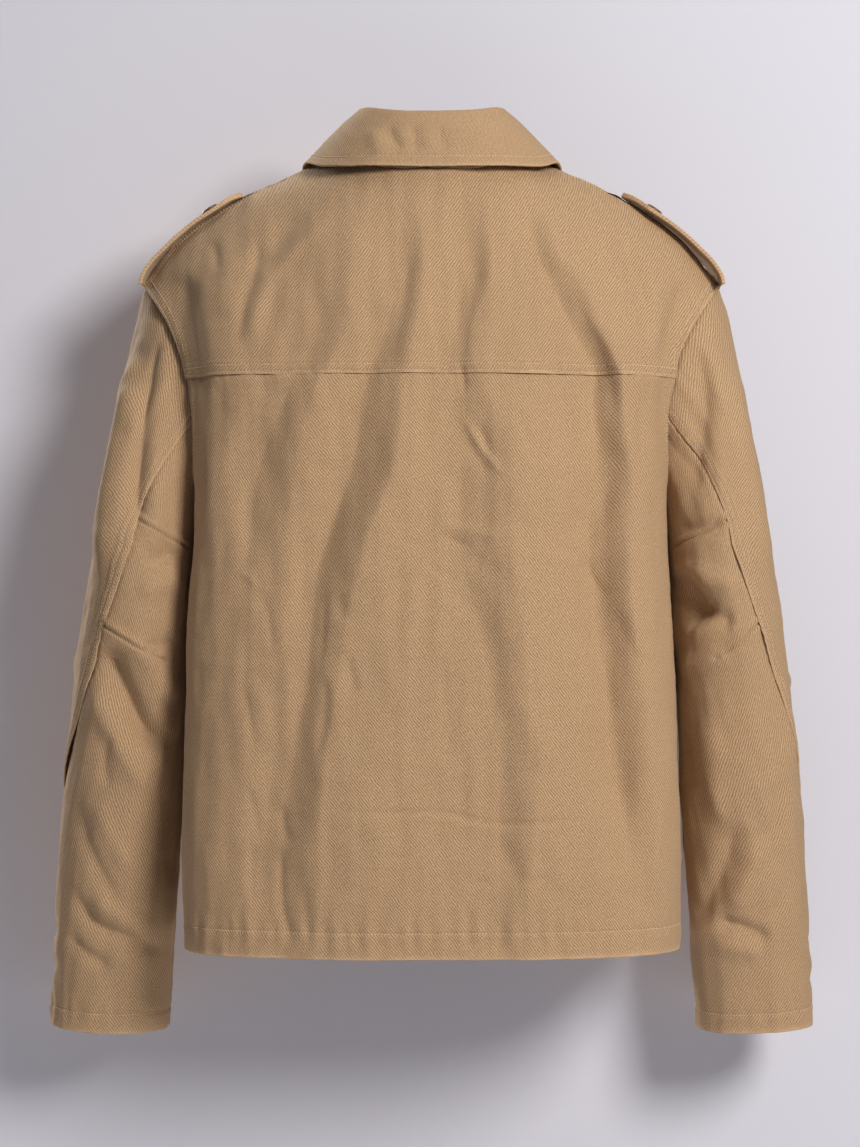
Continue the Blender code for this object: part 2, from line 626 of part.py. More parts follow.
# ---------------------------------------------------------------- the pieces
def build_body(cloth):
    back_cols = np.arange(BACK_COLS + 1)
    front_cols = np.arange(FRONT_COLS + 1)
    yoke_rows = np.arange(UPPER_ROWS + 1)
    lower_rows = np.arange(UPPER_ROWS, BODY_ROWS + 1)
    all_rows = np.arange(BODY_ROWS + 1)
    wall_piece("back_yoke", *body_panel("back", back_cols, yoke_rows), cloth)
    wall_piece("back_panel", *body_panel("back", back_cols, lower_rows), cloth)
    wall_piece("front_left", *body_panel("front", front_cols, all_rows), cloth)
    wall_piece("front_right", *body_panel("front", front_cols, all_rows, hand=-1), cloth)


def build_sleeves(cloth):
    for name, sign in (("left", 1), ("right", -1)):
        for piece in ("upper", "under"):
            wall_piece(f"sleeve_{piece}_{name}", *sleeve_panel(piece, sign), cloth)


def build_collar(cloth):
    stand, fall, out = collar_grids()
    stand_normal = np.repeat(out[None], len(stand), axis=0)
    across = np.gradient(fall, axis=1)
    down = np.gradient(fall, axis=0)
    fall_normal = unit(np.cross(down, across))
    if np.sum(fall_normal[-1] * out) < 0:
        fall_normal = -fall_normal
    fall_normal[0] = -out
    wall_piece("collar_stand", stand, stand_normal, np.full(stand.shape[:2], WALL), cloth)
    wall_piece("collar_fall", fall, fall_normal, np.full(fall.shape[:2], WALL), cloth)


def epaulette_grid(sign):
    """Upper face of an epaulette: rows from the armhole seam, columns from back to front."""
    x = np.array(EPAULETTE["x"])
    z = np.array(EPAULETTE["z"])
    half = np.array(EPAULETTE["half"])
    across = np.linspace(1, -1, EPAULETTE_COLS + 1)
    grid = np.zeros((len(x), len(across), 3))
    grid[..., 0] = x[:, None]
    grid[..., 1] = SHOULDER_Y + half[:, None] * across
    grid[..., 2] = z[:, None] - 0.0012 * across ** 2 * (half[:, None] / half[0])
    run = np.stack([np.gradient(x), np.zeros(len(x)), np.gradient(z)], axis=1)
    normal = unit(np.stack([run[:, 2], np.zeros(len(x)), -run[:, 0]], axis=1))
    normal[normal[:, 2] < 0] *= -1
    normals = np.repeat(normal[:, None], len(across), axis=1)
    walls = np.repeat(np.array(EPAULETTE["thick"])[:, None], len(across), axis=1)
    if sign < 0:
        return mirrored(grid), mirrored(normals), walls
    return grid, normals, walls


def build_epaulettes(cloth, horn):
    for name, sign in (("left", 1), ("right", -1)):
        grid, normals, walls = epaulette_grid(sign)
        wall_piece(f"epaulette_{name}", grid, normals, walls, cloth)
        rows = np.arange(len(grid))
        middle = EPAULETTE_COLS // 2
        seat = np.array([np.interp(BUTTON_ROW, rows, grid[:, middle, k]) for k in range(3)])
        up = unit(np.array([np.interp(BUTTON_ROW, rows, normals[:, middle, k])
                            for k in range(3)]))
        build_button(f"epaulette_button_{name}", seat, up, horn)


def build_button(name, seat, up, horn):
    """Turned button standing on a seat, with a raised rim round a shallow dish."""
    tool = bmesh.new()
    points = [tool.verts.new((r * BUTTON_RADIUS, 0.0, h * BUTTON_HEIGHT))
              for r, h in zip(BUTTON_PROFILE["out"], BUTTON_PROFILE["up"])]
    edges = [tool.edges.new((points[k], points[k + 1])) for k in range(len(points) - 1)]
    bmesh.ops.spin(tool, geom=points + edges, cent=(0, 0, 0), axis=(0, 0, 1),
                   angle=2 * math.pi, steps=BUTTON_SIDES, use_merge=True)
    bmesh.ops.remove_doubles(tool, verts=tool.verts, dist=0.00001)
    up = Vector(up)
    place = Matrix.Translation(Vector(seat) + up * 2 * SEAM)
    turn = Vector((0, 0, 1)).rotation_difference(up).to_matrix().to_4x4()
    bmesh.ops.transform(tool, matrix=place @ turn, verts=tool.verts)
    button = add_object(name, tool, horn)
    button.data.shade_smooth()
    button.data.set_sharp_from_angle(angle=math.radians(40))


def zip_line(rows):
    """Points and outward normals down the centre front, at the edge of the left front."""
    cols = np.array([FRONT_COLS - 1.0, float(FRONT_COLS)])
    whole = np.arange(BODY_ROWS + 1)
    grid = body_surface("front", cols, whole)
    grid = np.array([[[np.interp(row, whole, grid[:, j, k]) for k in range(3)]
                      for j in range(2)] for row in rows])
    side = unit(grid[:, 0] - grid[:, 1])
    down = np.gradient(grid[:, 1], axis=0)
    down[:, 0] = 0.0
    normal = unit(np.cross(side, down))
    normal[normal[:, 1] > 0] *= -1
    return grid[:, 1], side, normal


def build_zip(tape, metal):
    rows = np.concatenate([[CHAIN_TOP], np.arange(1, math.ceil(CHAIN_END)), [CHAIN_END]])
    edge, side, normal = zip_line(rows)
    straight = unit(normal * np.array([0, 1, 1]))
    depth = (WALL + SEAM * 1.2) / np.sum(normal * straight, axis=1, keepdims=True)
    behind = edge - straight * depth
    for name, sign in (("left", 1), ("right", -1)):
        flip = np.array([sign, 1, 1])
        inner = behind * np.array([0, 1, 1]) + np.array([TAPE_INNER, 0, 0])
        outer = behind + side * (TAPE_OUTER - ZIP_EDGE) - straight * TAPE_TUCK
        grid = np.stack([inner, behind, outer], axis=1) * flip
        normals = np.repeat(straight[:, None], 3, axis=1) * flip
        wall_piece(f"zip_tape_{name}", grid, normals, np.full(grid.shape[:2], TAPE_WALL), tape)
    chain = behind * np.array([0, 1, 1]) + straight * (SEAM + CHAIN_WALL)
    grid = np.stack([chain + np.array([x, 0, 0]) for x in (CHAIN_HALF, -CHAIN_HALF)], axis=1)
    normals = np.repeat(straight[:, None], 2, axis=1)
    wall_piece("zip_chain", grid, normals, np.full(grid.shape[:2], CHAIN_WALL), metal,
               smooth=False)
    wide, deep, tall = BOX_SIZE
    foot = chain[-1]
    box = prism("zip_box", rectangle(-wide / 2, -tall, wide / 2, 0), -deep / 2, deep / 2, metal)
    box.location = (0, foot[1] + CHAIN_WALL / 2, foot[2] - SEAM)
    return chain, straight, rows


def build_slider(chain, straight, rows, metal):
    """Slider on the chain and the pull tab that hangs in its bail."""
    at = np.array([np.interp(SLIDER_ROW, rows, chain[:, k]) for k in range(3)])
    out = unit(np.array([np.interp(SLIDER_ROW, rows, straight[:, k]) for k in range(3)]))
    lean = math.atan2(out[2], -out[1])
    half = SLIDER_LENGTH / 2
    low = SEAM * 1.5
    high = low + SLIDER_PLATE
    slider = prism("zip_slider", [(-SLIDER_END_HALF, -half), (SLIDER_END_HALF, -half),
                                  (SLIDER_TOP_HALF, half * 0.6), (SLIDER_TOP_HALF * 0.6, half),
                                  (-SLIDER_TOP_HALF * 0.6, half), (-SLIDER_TOP_HALF, half * 0.6)],
                   low, high, metal)
    for sign in (1, -1):
        flange = prism("flange", rectangle(sign * SLIDER_END_HALF, -half,
                                           sign * (SLIDER_END_HALF - FLANGE_WIDE * 0.7), half * 0.5),
                       -FLANGE_DEEP, low + SLIDER_PLATE / 2, metal)
        combine(slider, flange, "UNION")
    bail = prism("bail", rectangle(-BAIL_HALF, -BAIL_REACH, BAIL_HALF, BAIL_REACH),
                 high - SLIDER_PLATE / 2, high + BAIL_RISE, metal)
    reach = BAIL_REACH - BAIL_BAR
    opening = prism("opening", rectangle(-0.01, -reach, 0.01, reach),
                    -0.01, high + BAIL_RISE - BAIL_BAR, metal)
    combine(bail, opening, "DIFFERENCE")
    combine(slider, bail, "UNION")
    slider.location = at
    slider.rotation_euler = (-lean, 0, 0)

    bpy.context.view_layer.update()
    axis_at = slider.matrix_world @ Vector((0, -(high + PULL_AXIS_RISE), 0))
    end = PULL_LENGTH
    tip = [(PULL_END_HALF * math.cos(a), -(end - PULL_END_HALF) + PULL_END_HALF * math.sin(a))
           for a in np.linspace(0, -math.pi, 9)]
    right_side = [(PULL_WAIST_HALF, -end * 0.42), (PULL_TOP_HALF, -end * 0.24),
                  (PULL_TOP_HALF, PULL_BAR)]
    left_side = [(-x, z) for x, z in right_side[::-1]]
    pull = prism("zip_pull", tip + left_side[::-1] + right_side[::-1],
                 -PULL_THICK / 2, PULL_THICK / 2, metal)
    window = prism("window", rectangle(-PULL_WINDOW_HALF, -PULL_WINDOW_END, PULL_WINDOW_HALF,
                                       -PULL_BAR), -0.01, 0.01, metal)
    combine(pull, window, "DIFFERENCE")
    pull.location = axis_at


def main():
    for thing in list(bpy.data.objects):
        bpy.data.objects.remove(thing)
    cloth = material("cotton_twill", CLOTH_COLOUR, 0.85)
    tape = material("zip_tape", TAPE_COLOUR, 0.9)
    horn = material("button_horn", BUTTON_COLOUR, 0.4)
    metal = material("zip_metal", METAL_COLOUR, 0.35, 1.0)
    build_body(cloth)
    build_sleeves(cloth)
    build_collar(cloth)
    build_epaulettes(cloth, horn)
    build_slider(*build_zip(tape, metal), metal)


main()
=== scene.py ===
"""Harrington jacket in cotton twill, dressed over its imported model.

Each cloth node is replaced by a thin shell on the same form, sampled finely, with its creases,
seams, turned hems and stitching. Metres, +Z up, front towards -Y, the wearer's left is +X.
"""
import math

import bpy
import numpy as np
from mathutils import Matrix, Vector


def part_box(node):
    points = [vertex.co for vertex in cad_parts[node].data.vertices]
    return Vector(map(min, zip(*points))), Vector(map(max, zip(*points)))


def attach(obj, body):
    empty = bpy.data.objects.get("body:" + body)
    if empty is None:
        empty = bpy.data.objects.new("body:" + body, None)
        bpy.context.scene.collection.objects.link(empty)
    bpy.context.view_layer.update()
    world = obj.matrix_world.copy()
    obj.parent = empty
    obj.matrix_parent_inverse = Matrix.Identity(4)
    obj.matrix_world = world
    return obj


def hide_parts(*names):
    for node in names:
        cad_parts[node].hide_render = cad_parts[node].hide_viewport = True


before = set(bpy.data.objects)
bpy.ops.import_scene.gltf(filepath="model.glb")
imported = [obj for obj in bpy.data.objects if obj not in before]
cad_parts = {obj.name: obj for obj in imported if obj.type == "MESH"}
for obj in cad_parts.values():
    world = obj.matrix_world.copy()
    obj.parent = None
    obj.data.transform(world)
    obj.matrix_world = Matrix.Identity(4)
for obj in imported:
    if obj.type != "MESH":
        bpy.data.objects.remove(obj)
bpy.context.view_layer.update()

# ------------------------------------------------------------------ form
# As in the part's source, except that the collar's edge lies closer to the yoke.
YOKE_Z, UNDERARM_Z, HEM_TOP_Z, HEM_Z = -0.180, -0.296, -0.621, -0.643
BODY_POWER, SLEEVE_POWER = 2.8, 2.2
ZIP_EDGE = 0.0055
BACK_COLS, FRONT_COLS, RIDGE_COLS = 20, 10, 4
UPPER_ROWS, ARM_ROWS, BODY_ROWS = 5, 9, 20
ARM_POINTS = 18

BODY = dict(
    z=[-0.180, -0.200, -0.230, -0.260, -0.296, -0.350, -0.428, -0.500, -0.586, -0.643],
    half=[0.2030, 0.1980, 0.1936, 0.1912, 0.1905, 0.1935, 0.1980, 0.2005, 0.2030, 0.2012],
    back=[0.1180, 0.1190, 0.1200, 0.1208, 0.1218, 0.1235, 0.1255, 0.1265, 0.1270, 0.1262],
    front=[0.1130, 0.1150, 0.1180, 0.1205, 0.1225, 0.1245, 0.1260, 0.1255, 0.1240, 0.1225],
)
ARMHOLE = dict(
    z=[-0.180, -0.200, -0.230, -0.260, -0.280, -0.296],
    back=[0.0490, 0.0500, 0.0450, 0.0340, 0.0210, 0.0],
    front=[0.0550, 0.0560, 0.0510, 0.0400, 0.0260, 0.0],
)
SHOULDER_Y = -0.004
SHOULDER = dict(
    x=[0.0795, 0.1120, 0.1460, 0.1580, 0.1742, 0.1921, 0.2069, 0.2173, 0.2247, 0.2321, 0.2385],
    z=[0.0105, -0.0045, -0.0203, -0.0262, -0.0362, -0.0481, -0.0600, -0.0704, -0.0801, -0.0915,
       -0.1005],
)
NECK = dict(
    seam=[(0.0, 0.074, -0.012), (0.036, 0.068, -0.0105), (0.064, 0.043, 0.0005),
          (0.0795, -0.004, 0.0105), (0.073, -0.045, -0.0115), (0.046, -0.083, -0.0445),
          (ZIP_EDGE, -0.104, -0.064)],
    fold=[(0.0, 0.061, 0.0365), (0.033, 0.054, 0.0385), (0.057, 0.030, 0.0440),
          (0.0630, -0.006, 0.0430), (0.058, -0.046, 0.021), (0.036, -0.083, -0.012),
          (ZIP_EDGE, -0.105, -0.036)],
    edge=[(0.0, 0.0820, -0.0112), (0.051, 0.0748, -0.0096), (0.088, 0.0455, -0.0062),
          (0.1065, 0.0030, 0.0010), (0.1065, -0.052, -0.0185), (0.086, -0.096, -0.064),
          (0.044, -0.1235, -0.118)],
)
SIDE_STATION, LAST_STATION = 3, 6
BACK_FLOW = dict(
    col=[0, 2, 4, 7, 10],
    leave=[(-0.28, 0.86, -0.38), (-0.12, 0.93, -0.27), (0.0, 0.90, -0.35), (0.0, 0.60, -0.72),
           (0.0, 0.38, -0.90)],
    meet=[(0.22, -0.12, 1.0), (0.10, -0.10, 1.0), (0.05, -0.06, 1.0), (0.02, -0.03, 1.0),
          (0.0, -0.02, 1.0)],
)
FRONT_FLOW = dict(
    col=[0, 2, 4, 7, 10],
    leave=[(-0.28, -0.86, -0.38), (-0.12, -0.93, -0.27), (0.0, -0.90, -0.38), (0.0, -0.55, -0.80),
           (0.0, -0.16, -0.98)],
    meet=[(0.22, 0.14, 1.0), (0.10, 0.12, 1.0), (0.05, 0.09, 1.0), (0.02, 0.07, 1.0),
          (0.0, 0.055, 1.0)],
)
FLOW_LENGTH = 0.38
SLEEVE = dict(
    z=[-0.315, -0.380, -0.450, -0.550, -0.650, -0.7030, -0.7195],
    outer=[0.2795, 0.2905, 0.2990, 0.3105, 0.3190, 0.3215, 0.3222],
    inner=[0.1952, 0.2005, 0.2050, 0.2105, 0.2185, 0.2230, 0.2238],
    y=[0.002, 0.000, -0.007, -0.022, -0.037, -0.044, -0.046],
    depth=[0.0715, 0.0665, 0.0600, 0.0520, 0.0450, 0.0415, 0.0408],
    rise_out=[0.02, 0.08, 0.10, 0.09, 0.07, 0.05, 0.04],
    rise_back=[0.00, -0.02, -0.06, -0.08, -0.08, -0.07, -0.06],
    elbow=[85.0, 65.0, 42.0, -8.0, -28.0, -35.0, -36.0],
)
INNER_SEAM = 180.0
ELBOW_POINT = 6
CAP = dict(
    point=[0, 2.5, 5, 6, 7.5, 9, 10.5, 13, 15.5, 18],
    angle=[0, 36, 75, 85, 130, 180, 222, 262, 312, 360],
    leave=[(0.30, 0.0, -0.95), (0.42, 0.42, -0.80), (0.60, 0.30, -0.74), (0.58, 0.24, -0.78),
           (0.38, 0.12, -0.92), (0.14, 0.0, -0.99), (0.38, -0.12, -0.92), (0.60, -0.30, -0.74),
           (0.42, -0.42, -0.80), (0.30, 0.0, -0.95)],
)
EPAULETTE = dict(
    x=[0.2418, 0.2398, 0.2332, 0.2237, 0.2100, 0.1955, 0.1800, 0.1690, 0.1597],
    z=[-0.0985, -0.0905, -0.0800, -0.0700, -0.0570, -0.0456, -0.0350, -0.0266, -0.0219],
    half=[0.0235, 0.0235, 0.0232, 0.0228, 0.0222, 0.0216, 0.0210, 0.0125, 0.0030],
    thick=[0.0030, 0.0032, 0.0032, 0.0032, 0.0032, 0.0032, 0.0034, 0.0040, 0.0044],
)


# ------------------------------------------------------------------ curves and grids
SPREAD_STEPS, SECTION_STEPS = 4001, 1201


def hermite(p0, d0, p1, d1, t):
    return ((2 * t ** 3 - 3 * t ** 2 + 1) * p0 + (t ** 3 - 2 * t ** 2 + t) * d0
            + (3 * t ** 2 - 2 * t ** 3) * p1 + (t ** 3 - t ** 2) * d1)


def curve(keys, values, x):
    """Smooth curve through values of any shape at keys, read at every x."""
    keys, values = np.asarray(keys, float), np.asarray(values, float)
    if keys[0] > keys[-1]:
        keys, values = keys[::-1], values[::-1]
    slopes = np.gradient(values, keys, axis=0)
    x = np.clip(np.atleast_1d(np.asarray(x, float)), keys[0], keys[-1])
    i = np.clip(np.searchsorted(keys, x, side="right") - 1, 0, len(keys) - 2)
    shape = (-1,) + (1,) * (values.ndim - 1)
    step = (keys[i + 1] - keys[i]).reshape(shape)
    t = (x - keys[i]).reshape(shape) / step
    return hermite(values[i], slopes[i] * step, values[i + 1], slopes[i + 1] * step, t)


def unit(v):
    return v / np.maximum(np.linalg.norm(v, axis=-1, keepdims=True), 1e-12)


def mirrored(points):
    return points * np.array([-1.0, 1.0, 1.0])


def smooth(x, low, high):
    t = np.clip((x - low) / (high - low), 0.0, 1.0)
    return t * t * (3 - 2 * t)


def bell(x, width):
    return np.exp(-(x / width) ** 2)


def run_of(points):
    """Length along a line of points, from its first."""
    return np.concatenate([[0.0], np.cumsum(np.linalg.norm(np.diff(points, axis=0), axis=1))])


def read_at(values, run, s):
    """A line's values, three to a point, at lengths s along it."""
    return np.stack([np.interp(s, run, values[:, k]) for k in range(3)], axis=-1)


def spread(low, high, count, dense=()):
    """count values from low to high, closer together near each (centre, half width, factor)."""
    fine = np.linspace(low, high, SPREAD_STEPS)
    weight = np.ones_like(fine)
    for centre, half, factor in dense:
        weight += (factor - 1) * bell(fine - centre, half)
    run = np.concatenate([[0.0], np.cumsum((weight[1:] + weight[:-1]) / 2)])
    return np.interp(np.linspace(0, run[-1], count), run, fine)


def row_height(v):
    return float(np.interp(v, [UPPER_ROWS, ARM_ROWS, BODY_ROWS - 1, BODY_ROWS],
                           [YOKE_Z, UNDERARM_Z, HEM_TOP_Z, HEM_Z]))


def section(z, side, share, to_zip):
    """Points of the body's half section at height z, at shares of its length."""
    half = curve(BODY["z"], BODY["half"], z)[0]
    depth = curve(BODY["z"], BODY[side], z)[0]
    edge = curve(ARMHOLE["z"], ARMHOLE[side], z)[0] if z > UNDERARM_Z else 0.0
    start = math.asin((max(edge, 0.0) / depth) ** (BODY_POWER / 2))
    angle = np.linspace(start, math.pi - start, SECTION_STEPS)
    cos, sin = np.cos(angle), np.clip(np.sin(angle), 0.0, 1.0)
    x = half * np.sign(cos) * np.abs(cos) ** (2 / BODY_POWER)
    y = depth * sin ** (2 / BODY_POWER) * (1 if side == "back" else -1)
    if to_zip:
        keep = x >= ZIP_EDGE
        x, y = np.append(x[keep], ZIP_EDGE), np.append(y[keep], np.interp(-ZIP_EDGE, -x, y))
    run = np.concatenate([[0.0], np.cumsum(np.hypot(np.diff(x), np.diff(y)))])
    at = np.asarray(share) * run[-1]
    return np.stack([np.interp(at, run, x), np.interp(at, run, y), np.full(len(at), z)], axis=1)


def neck_line(name, station):
    rows = np.array(NECK[name], float)
    keys = np.arange(-1, len(rows))
    return curve(keys, np.concatenate([mirrored(rows[1:2]), rows]), station)


def top_line(near, side):
    """Upper boundary of the body for columns near (left half): shoulder seam, then neck seam."""
    x_neck, x_arm = SHOULDER["x"][0], SHOULDER["x"][-1]
    x = x_arm + (x_neck - x_arm) * np.clip(near / RIDGE_COLS, 0, 1)
    ridge = np.stack([x, np.full(len(x), SHOULDER_Y), curve(SHOULDER["x"], SHOULDER["z"], x)], 1)
    share = np.clip((near - RIDGE_COLS) / (BACK_COLS / 2 - RIDGE_COLS), 0, 1)
    if side == "back":
        neck = neck_line("seam", SIDE_STATION * (1 - share))
    else:
        neck = neck_line("seam", SIDE_STATION + (LAST_STATION - SIDE_STATION) * share)
    return np.where((near <= RIDGE_COLS)[:, None], ridge, neck)


def past_middle(flow, name, side):
    """A flow table's columns, on the back carried past the middle so that it stays smooth."""
    if side == "front":
        return flow["col"], flow[name]
    beyond = mirrored(np.array(flow[name][-2:-1]))
    return flow["col"] + [BACK_COLS - flow["col"][-2]], np.concatenate([flow[name], beyond])


def body_surface(side, cols, rows):
    flow = BACK_FLOW if side == "back" else FRONT_FLOW
    last = BACK_COLS if side == "back" else FRONT_COLS
    cols, rows = np.asarray(cols, float), np.asarray(rows, float)
    flip = cols > BACK_COLS / 2
    near = np.where(flip, BACK_COLS - cols, cols)
    turn = np.where(flip, -1.0, 1.0)[:, None] * np.array([1.0, 0, 0]) + np.array([0, 1.0, 1.0])
    level = section(YOKE_Z, side, cols / last, side == "front")
    top = top_line(near, side) * turn
    leave = unit(curve(*past_middle(flow, "leave", side), near)) * turn
    meet = unit(curve(*past_middle(flow, "meet", side), near)) * turn
    reach = np.linalg.norm(level - top, axis=1, keepdims=True) * FLOW_LENGTH
    t = np.clip(rows / UPPER_ROWS, 0, 1)[:, None, None]
    grid = ((1 - t) ** 3 * top + 3 * (1 - t) ** 2 * t * (top + leave * reach)
            + 3 * (1 - t) * t ** 2 * (level + meet * reach) + t ** 3 * level)
    for i, row in enumerate(rows):
        if row >= UPPER_ROWS:
            grid[i] = section(row_height(row), side, cols / last, side == "front")
    return grid


def armhole_points(index):
    """Points of the left armhole: index 0 at the shoulder, 9 underarm, 18 back at the shoulder."""
    index = np.mod(np.asarray(index, float), ARM_POINTS)
    points = np.zeros((len(index), 3))
    rear = index <= ARM_ROWS
    points[rear] = body_surface("back", [0.0], index[rear])[:, 0]
    points[~rear] = body_surface("front", [0.0], ARM_POINTS - index[~rear])[:, 0]
    return points


def cap_angle(cols):
    turns = np.floor(cols / ARM_POINTS)
    return np.interp(cols - turns * ARM_POINTS, CAP["point"], CAP["angle"]) + 360 * turns


def tube(angle, station):
    """Points of the sleeve below the cap. angle in degrees (rows, columns), station (rows,)."""
    keys = np.arange(1, len(SLEEVE["z"]) + 1)
    read = {k: curve(keys, SLEEVE[k], station)[:, None] for k in SLEEVE}
    half = (read["outer"] - read["inner"]) / 2
    cos, sin = np.cos(np.radians(angle)), np.sin(np.radians(angle))
    dx = half * np.sign(cos) * np.abs(cos) ** (2 / SLEEVE_POWER)
    dy = read["depth"] * np.sign(sin) * np.abs(sin) ** (2 / SLEEVE_POWER)
    z = read["z"] + read["rise_out"] * dx + read["rise_back"] * dy
    return np.stack([read["inner"] + half + dx, read["y"] + dy, z], axis=-1)


def sleeve_surface(piece, cols, rows):
    keys = np.arange(1, len(SLEEVE["z"]) + 1)
    ends = (ELBOW_POINT, ARM_ROWS) if piece == "under" else (ARM_ROWS, ARM_POINTS + ELBOW_POINT)
    cols, rows = np.asarray(cols, float), np.asarray(rows, float)
    start, end = cap_angle(np.array(ends, float))
    here = cap_angle(cols)
    arm = armhole_points(cols)
    leave = unit(curve(CAP["point"], CAP["leave"], np.mod(cols, ARM_POINTS)))
    low = tube(here[None], np.array([1.0]))[0]
    below = tube(here[None], np.array([1.1]))[0]
    chord = np.linalg.norm(low - arm, axis=1, keepdims=True)
    t = np.clip(rows, 0, 1)[:, None, None]
    grid = hermite(arm, leave * chord, low, unit(below - low) * chord, t)
    lower = rows >= 1
    elbow = curve(keys, SLEEVE["elbow"], rows[lower])[:, None]
    share = ((here - start) / (end - start))[None]
    if piece == "under":
        angle = elbow + (INNER_SEAM - elbow) * share
    else:
        angle = INNER_SEAM + (elbow + 360 - INNER_SEAM) * share
    grid[lower] = tube(angle, rows[lower])
    return grid


# ------------------------------------------------------------------ creases and small relief
NOISE_GAIN = 1.6
STRAIGHT_SAMPLES, SAMPLES_A_POINT = 30, 16
CREASE_REACH = 3           # how far a crease is worked out, in widths


def noise(u, v, seed):
    """Smooth noise of about -1 to 1 on a unit lattice, from hashed slopes at its corners."""
    iu, iv = np.floor(u), np.floor(v)
    fu, fv = u - iu, v - iv

    def corner(du, dv):
        angle = np.sin((iu + du) * 127.1 + (iv + dv) * 311.7 + seed * 74.7) * 43758.5453
        angle = (angle - np.floor(angle)) * 2 * math.pi
        return np.cos(angle) * (fu - du) + np.sin(angle) * (fv - dv)

    su, sv = (f * f * f * (f * (f * 6 - 15) + 10) for f in (fu, fv))
    low = corner(0, 0) * (1 - su) + corner(1, 0) * su
    high = corner(0, 1) * (1 - su) + corner(1, 1) * su
    return (low * (1 - sv) + high * sv) * NOISE_GAIN


def path_samples(points):
    """Smooth path through a few points (mm), as samples in metres with tangents and lengths."""
    points = np.array(points, float) / 1000
    if len(points) == 2:
        share = np.linspace(0, 1, STRAIGHT_SAMPLES)[:, None]
        fine = points[0] + share * (points[1] - points[0])
    else:
        fine = curve(np.arange(len(points)), points,
                     np.linspace(0, len(points) - 1, SAMPLES_A_POINT * len(points)))
    return fine, unit(np.gradient(fine, axis=0)), run_of(fine)


def crease_field(flat, creases):
    """Height added by a table of creases at flat (..., 2) coordinates, in metres.

    Each crease: height in mm (below zero a trough), width in mm, skew (above zero steeper on
    its right as the path runs), sharpness (2 is round, lower is sharper), fade at each end as a
    share of its length, path in mm.
    """
    total = np.zeros(flat.shape[:-1])
    for high, wide, skew, sharp, fade, path in creases:
        fine, tangent, run = path_samples(path)
        wide = wide / 1000
        low, top = fine.min(axis=0) - CREASE_REACH * wide, fine.max(axis=0) + CREASE_REACH * wide
        near = np.all((flat > low) & (flat < top), axis=-1)
        if not near.any():
            continue
        spots = flat[near]
        best = np.full(len(spots), 1e9)
        index = np.zeros(len(spots), int)
        for k, point in enumerate(fine):
            gap = (spots[:, 0] - point[0]) ** 2 + (spots[:, 1] - point[1]) ** 2
            closer = gap < best
            best[closer] = gap[closer]
            index[closer] = k
        away, tangent = spots - fine[index], tangent[index]
        share = (run[index] + np.sum(away * tangent, axis=1)) / run[-1]
        across = away[:, 0] * tangent[:, 1] - away[:, 1] * tangent[:, 0]
        ends = smooth(share, 0.0, fade) * smooth(1 - share, 0.0, fade)
        reach = wide * np.where(across > 0, 1 - skew, 1 + skew)
        total[near] += high / 1000 * ends * np.exp(-np.abs(across / reach) ** sharp)
    return total


# Broad drapes, as lines of ridges (high above zero) and hollows from the left side to the right.
# Each has its place across, in percent from the middle (0) to the wearer's left side (100), and
# its height in mm at every level of DRAPE_DOWN, in percent from the yoke seam (0) to the hem
# (100) or up to the neck (-100).
DRAPE_DOWN = [-90, -50, 0, 15, 30, 50, 70, 85, 100]
DRAPES = [
    dict(across=[78, 84, 88, 91, 93, 95, 94, 92, 88], high=[0, 5, 9, 10, 11, 9, 6, 4, 2]),
    dict(across=[39, 44, 54, 70, 76, 74, 74, 74, 72], high=[0, -1.5, -3, -3, 0, 1.5, 0.5, -0.5, 0]),
    dict(across=[27, 32, 43, 56, 62, 60, 64, 65, 64], high=[0, 1, 2, 2.5, 1, -0.5, -4.5, -4, -2]),
    dict(across=[14, 13, 25, 33, 45, 49, 58, 59, 59], high=[0, -3, -5, -7, -7, -6, -4.5, -3.5, -2]),
    dict(across=[4, 4, 10, 15, 28, 36, 42, 44, 45], high=[0, 3, 5, 6.5, 6.5, 4.5, 4.5, 4, 2]),
    dict(across=[-14, -14, -8, -12, -12, -21, -26, -26, -27], high=[0, -2.5, -4, -5, -5, -5, -5, -3, -2]),
    dict(across=[-22, -23, -19, -32, -33, -38, -41, -39, -38], high=[0, 1.5, 2, 3.5, 3.5, 3.5, 3, 2, 1]),
    dict(across=[-35, -43, -64, -69, -67, -70, -74, -80, -84], high=[0, -5, -8, -9.5, -9.5, -8, -6, -3, 0]),
    dict(across=[-44, -50, -74, -81, -80, -83, -88, -90, -93], high=[0, 4, 6, 7, 7, 6, 5, 3, 1]),
    dict(across=[-81, -93, -95, -97, -97, -97, -98, -99, -99], high=[0, 0, 3, 4, 4, 4, 3, 2, 1]),
]
# How the lines wander: size, length across and down (m), seed. How they swell: middle and
# change of their height, length across and down, seed.
WANDER = [(0.0038, 0.060, 0.090, 41), (0.0012, 0.018, 0.040, 42)]
SWELL = (1.05, 0.42, 0.070, 0.120, 43)
STRAIGHT_SHARE, ROUND_SHARE = 0.45, 0.55    # of a slope between a ridge and a hollow
# Hung cloth lies flatter towards the sides than the filled form: by how much, from and to which
# share of the half width, and how far below the yoke it is whole.
FLATTER, FLAT_FROM, FLAT_TO, FLAT_BELOW = 0.008, 0.55, 0.95, 0.12
CREASE_DEPTH, CREASE_WIDTH = 0.98, 1.15     # share of the depths and widths of BACK_CREASES
SLEEVE_DEPTH, FRONT_DEPTH = 1.35, 1.7       # and of the depths of the sleeves' and the fronts'


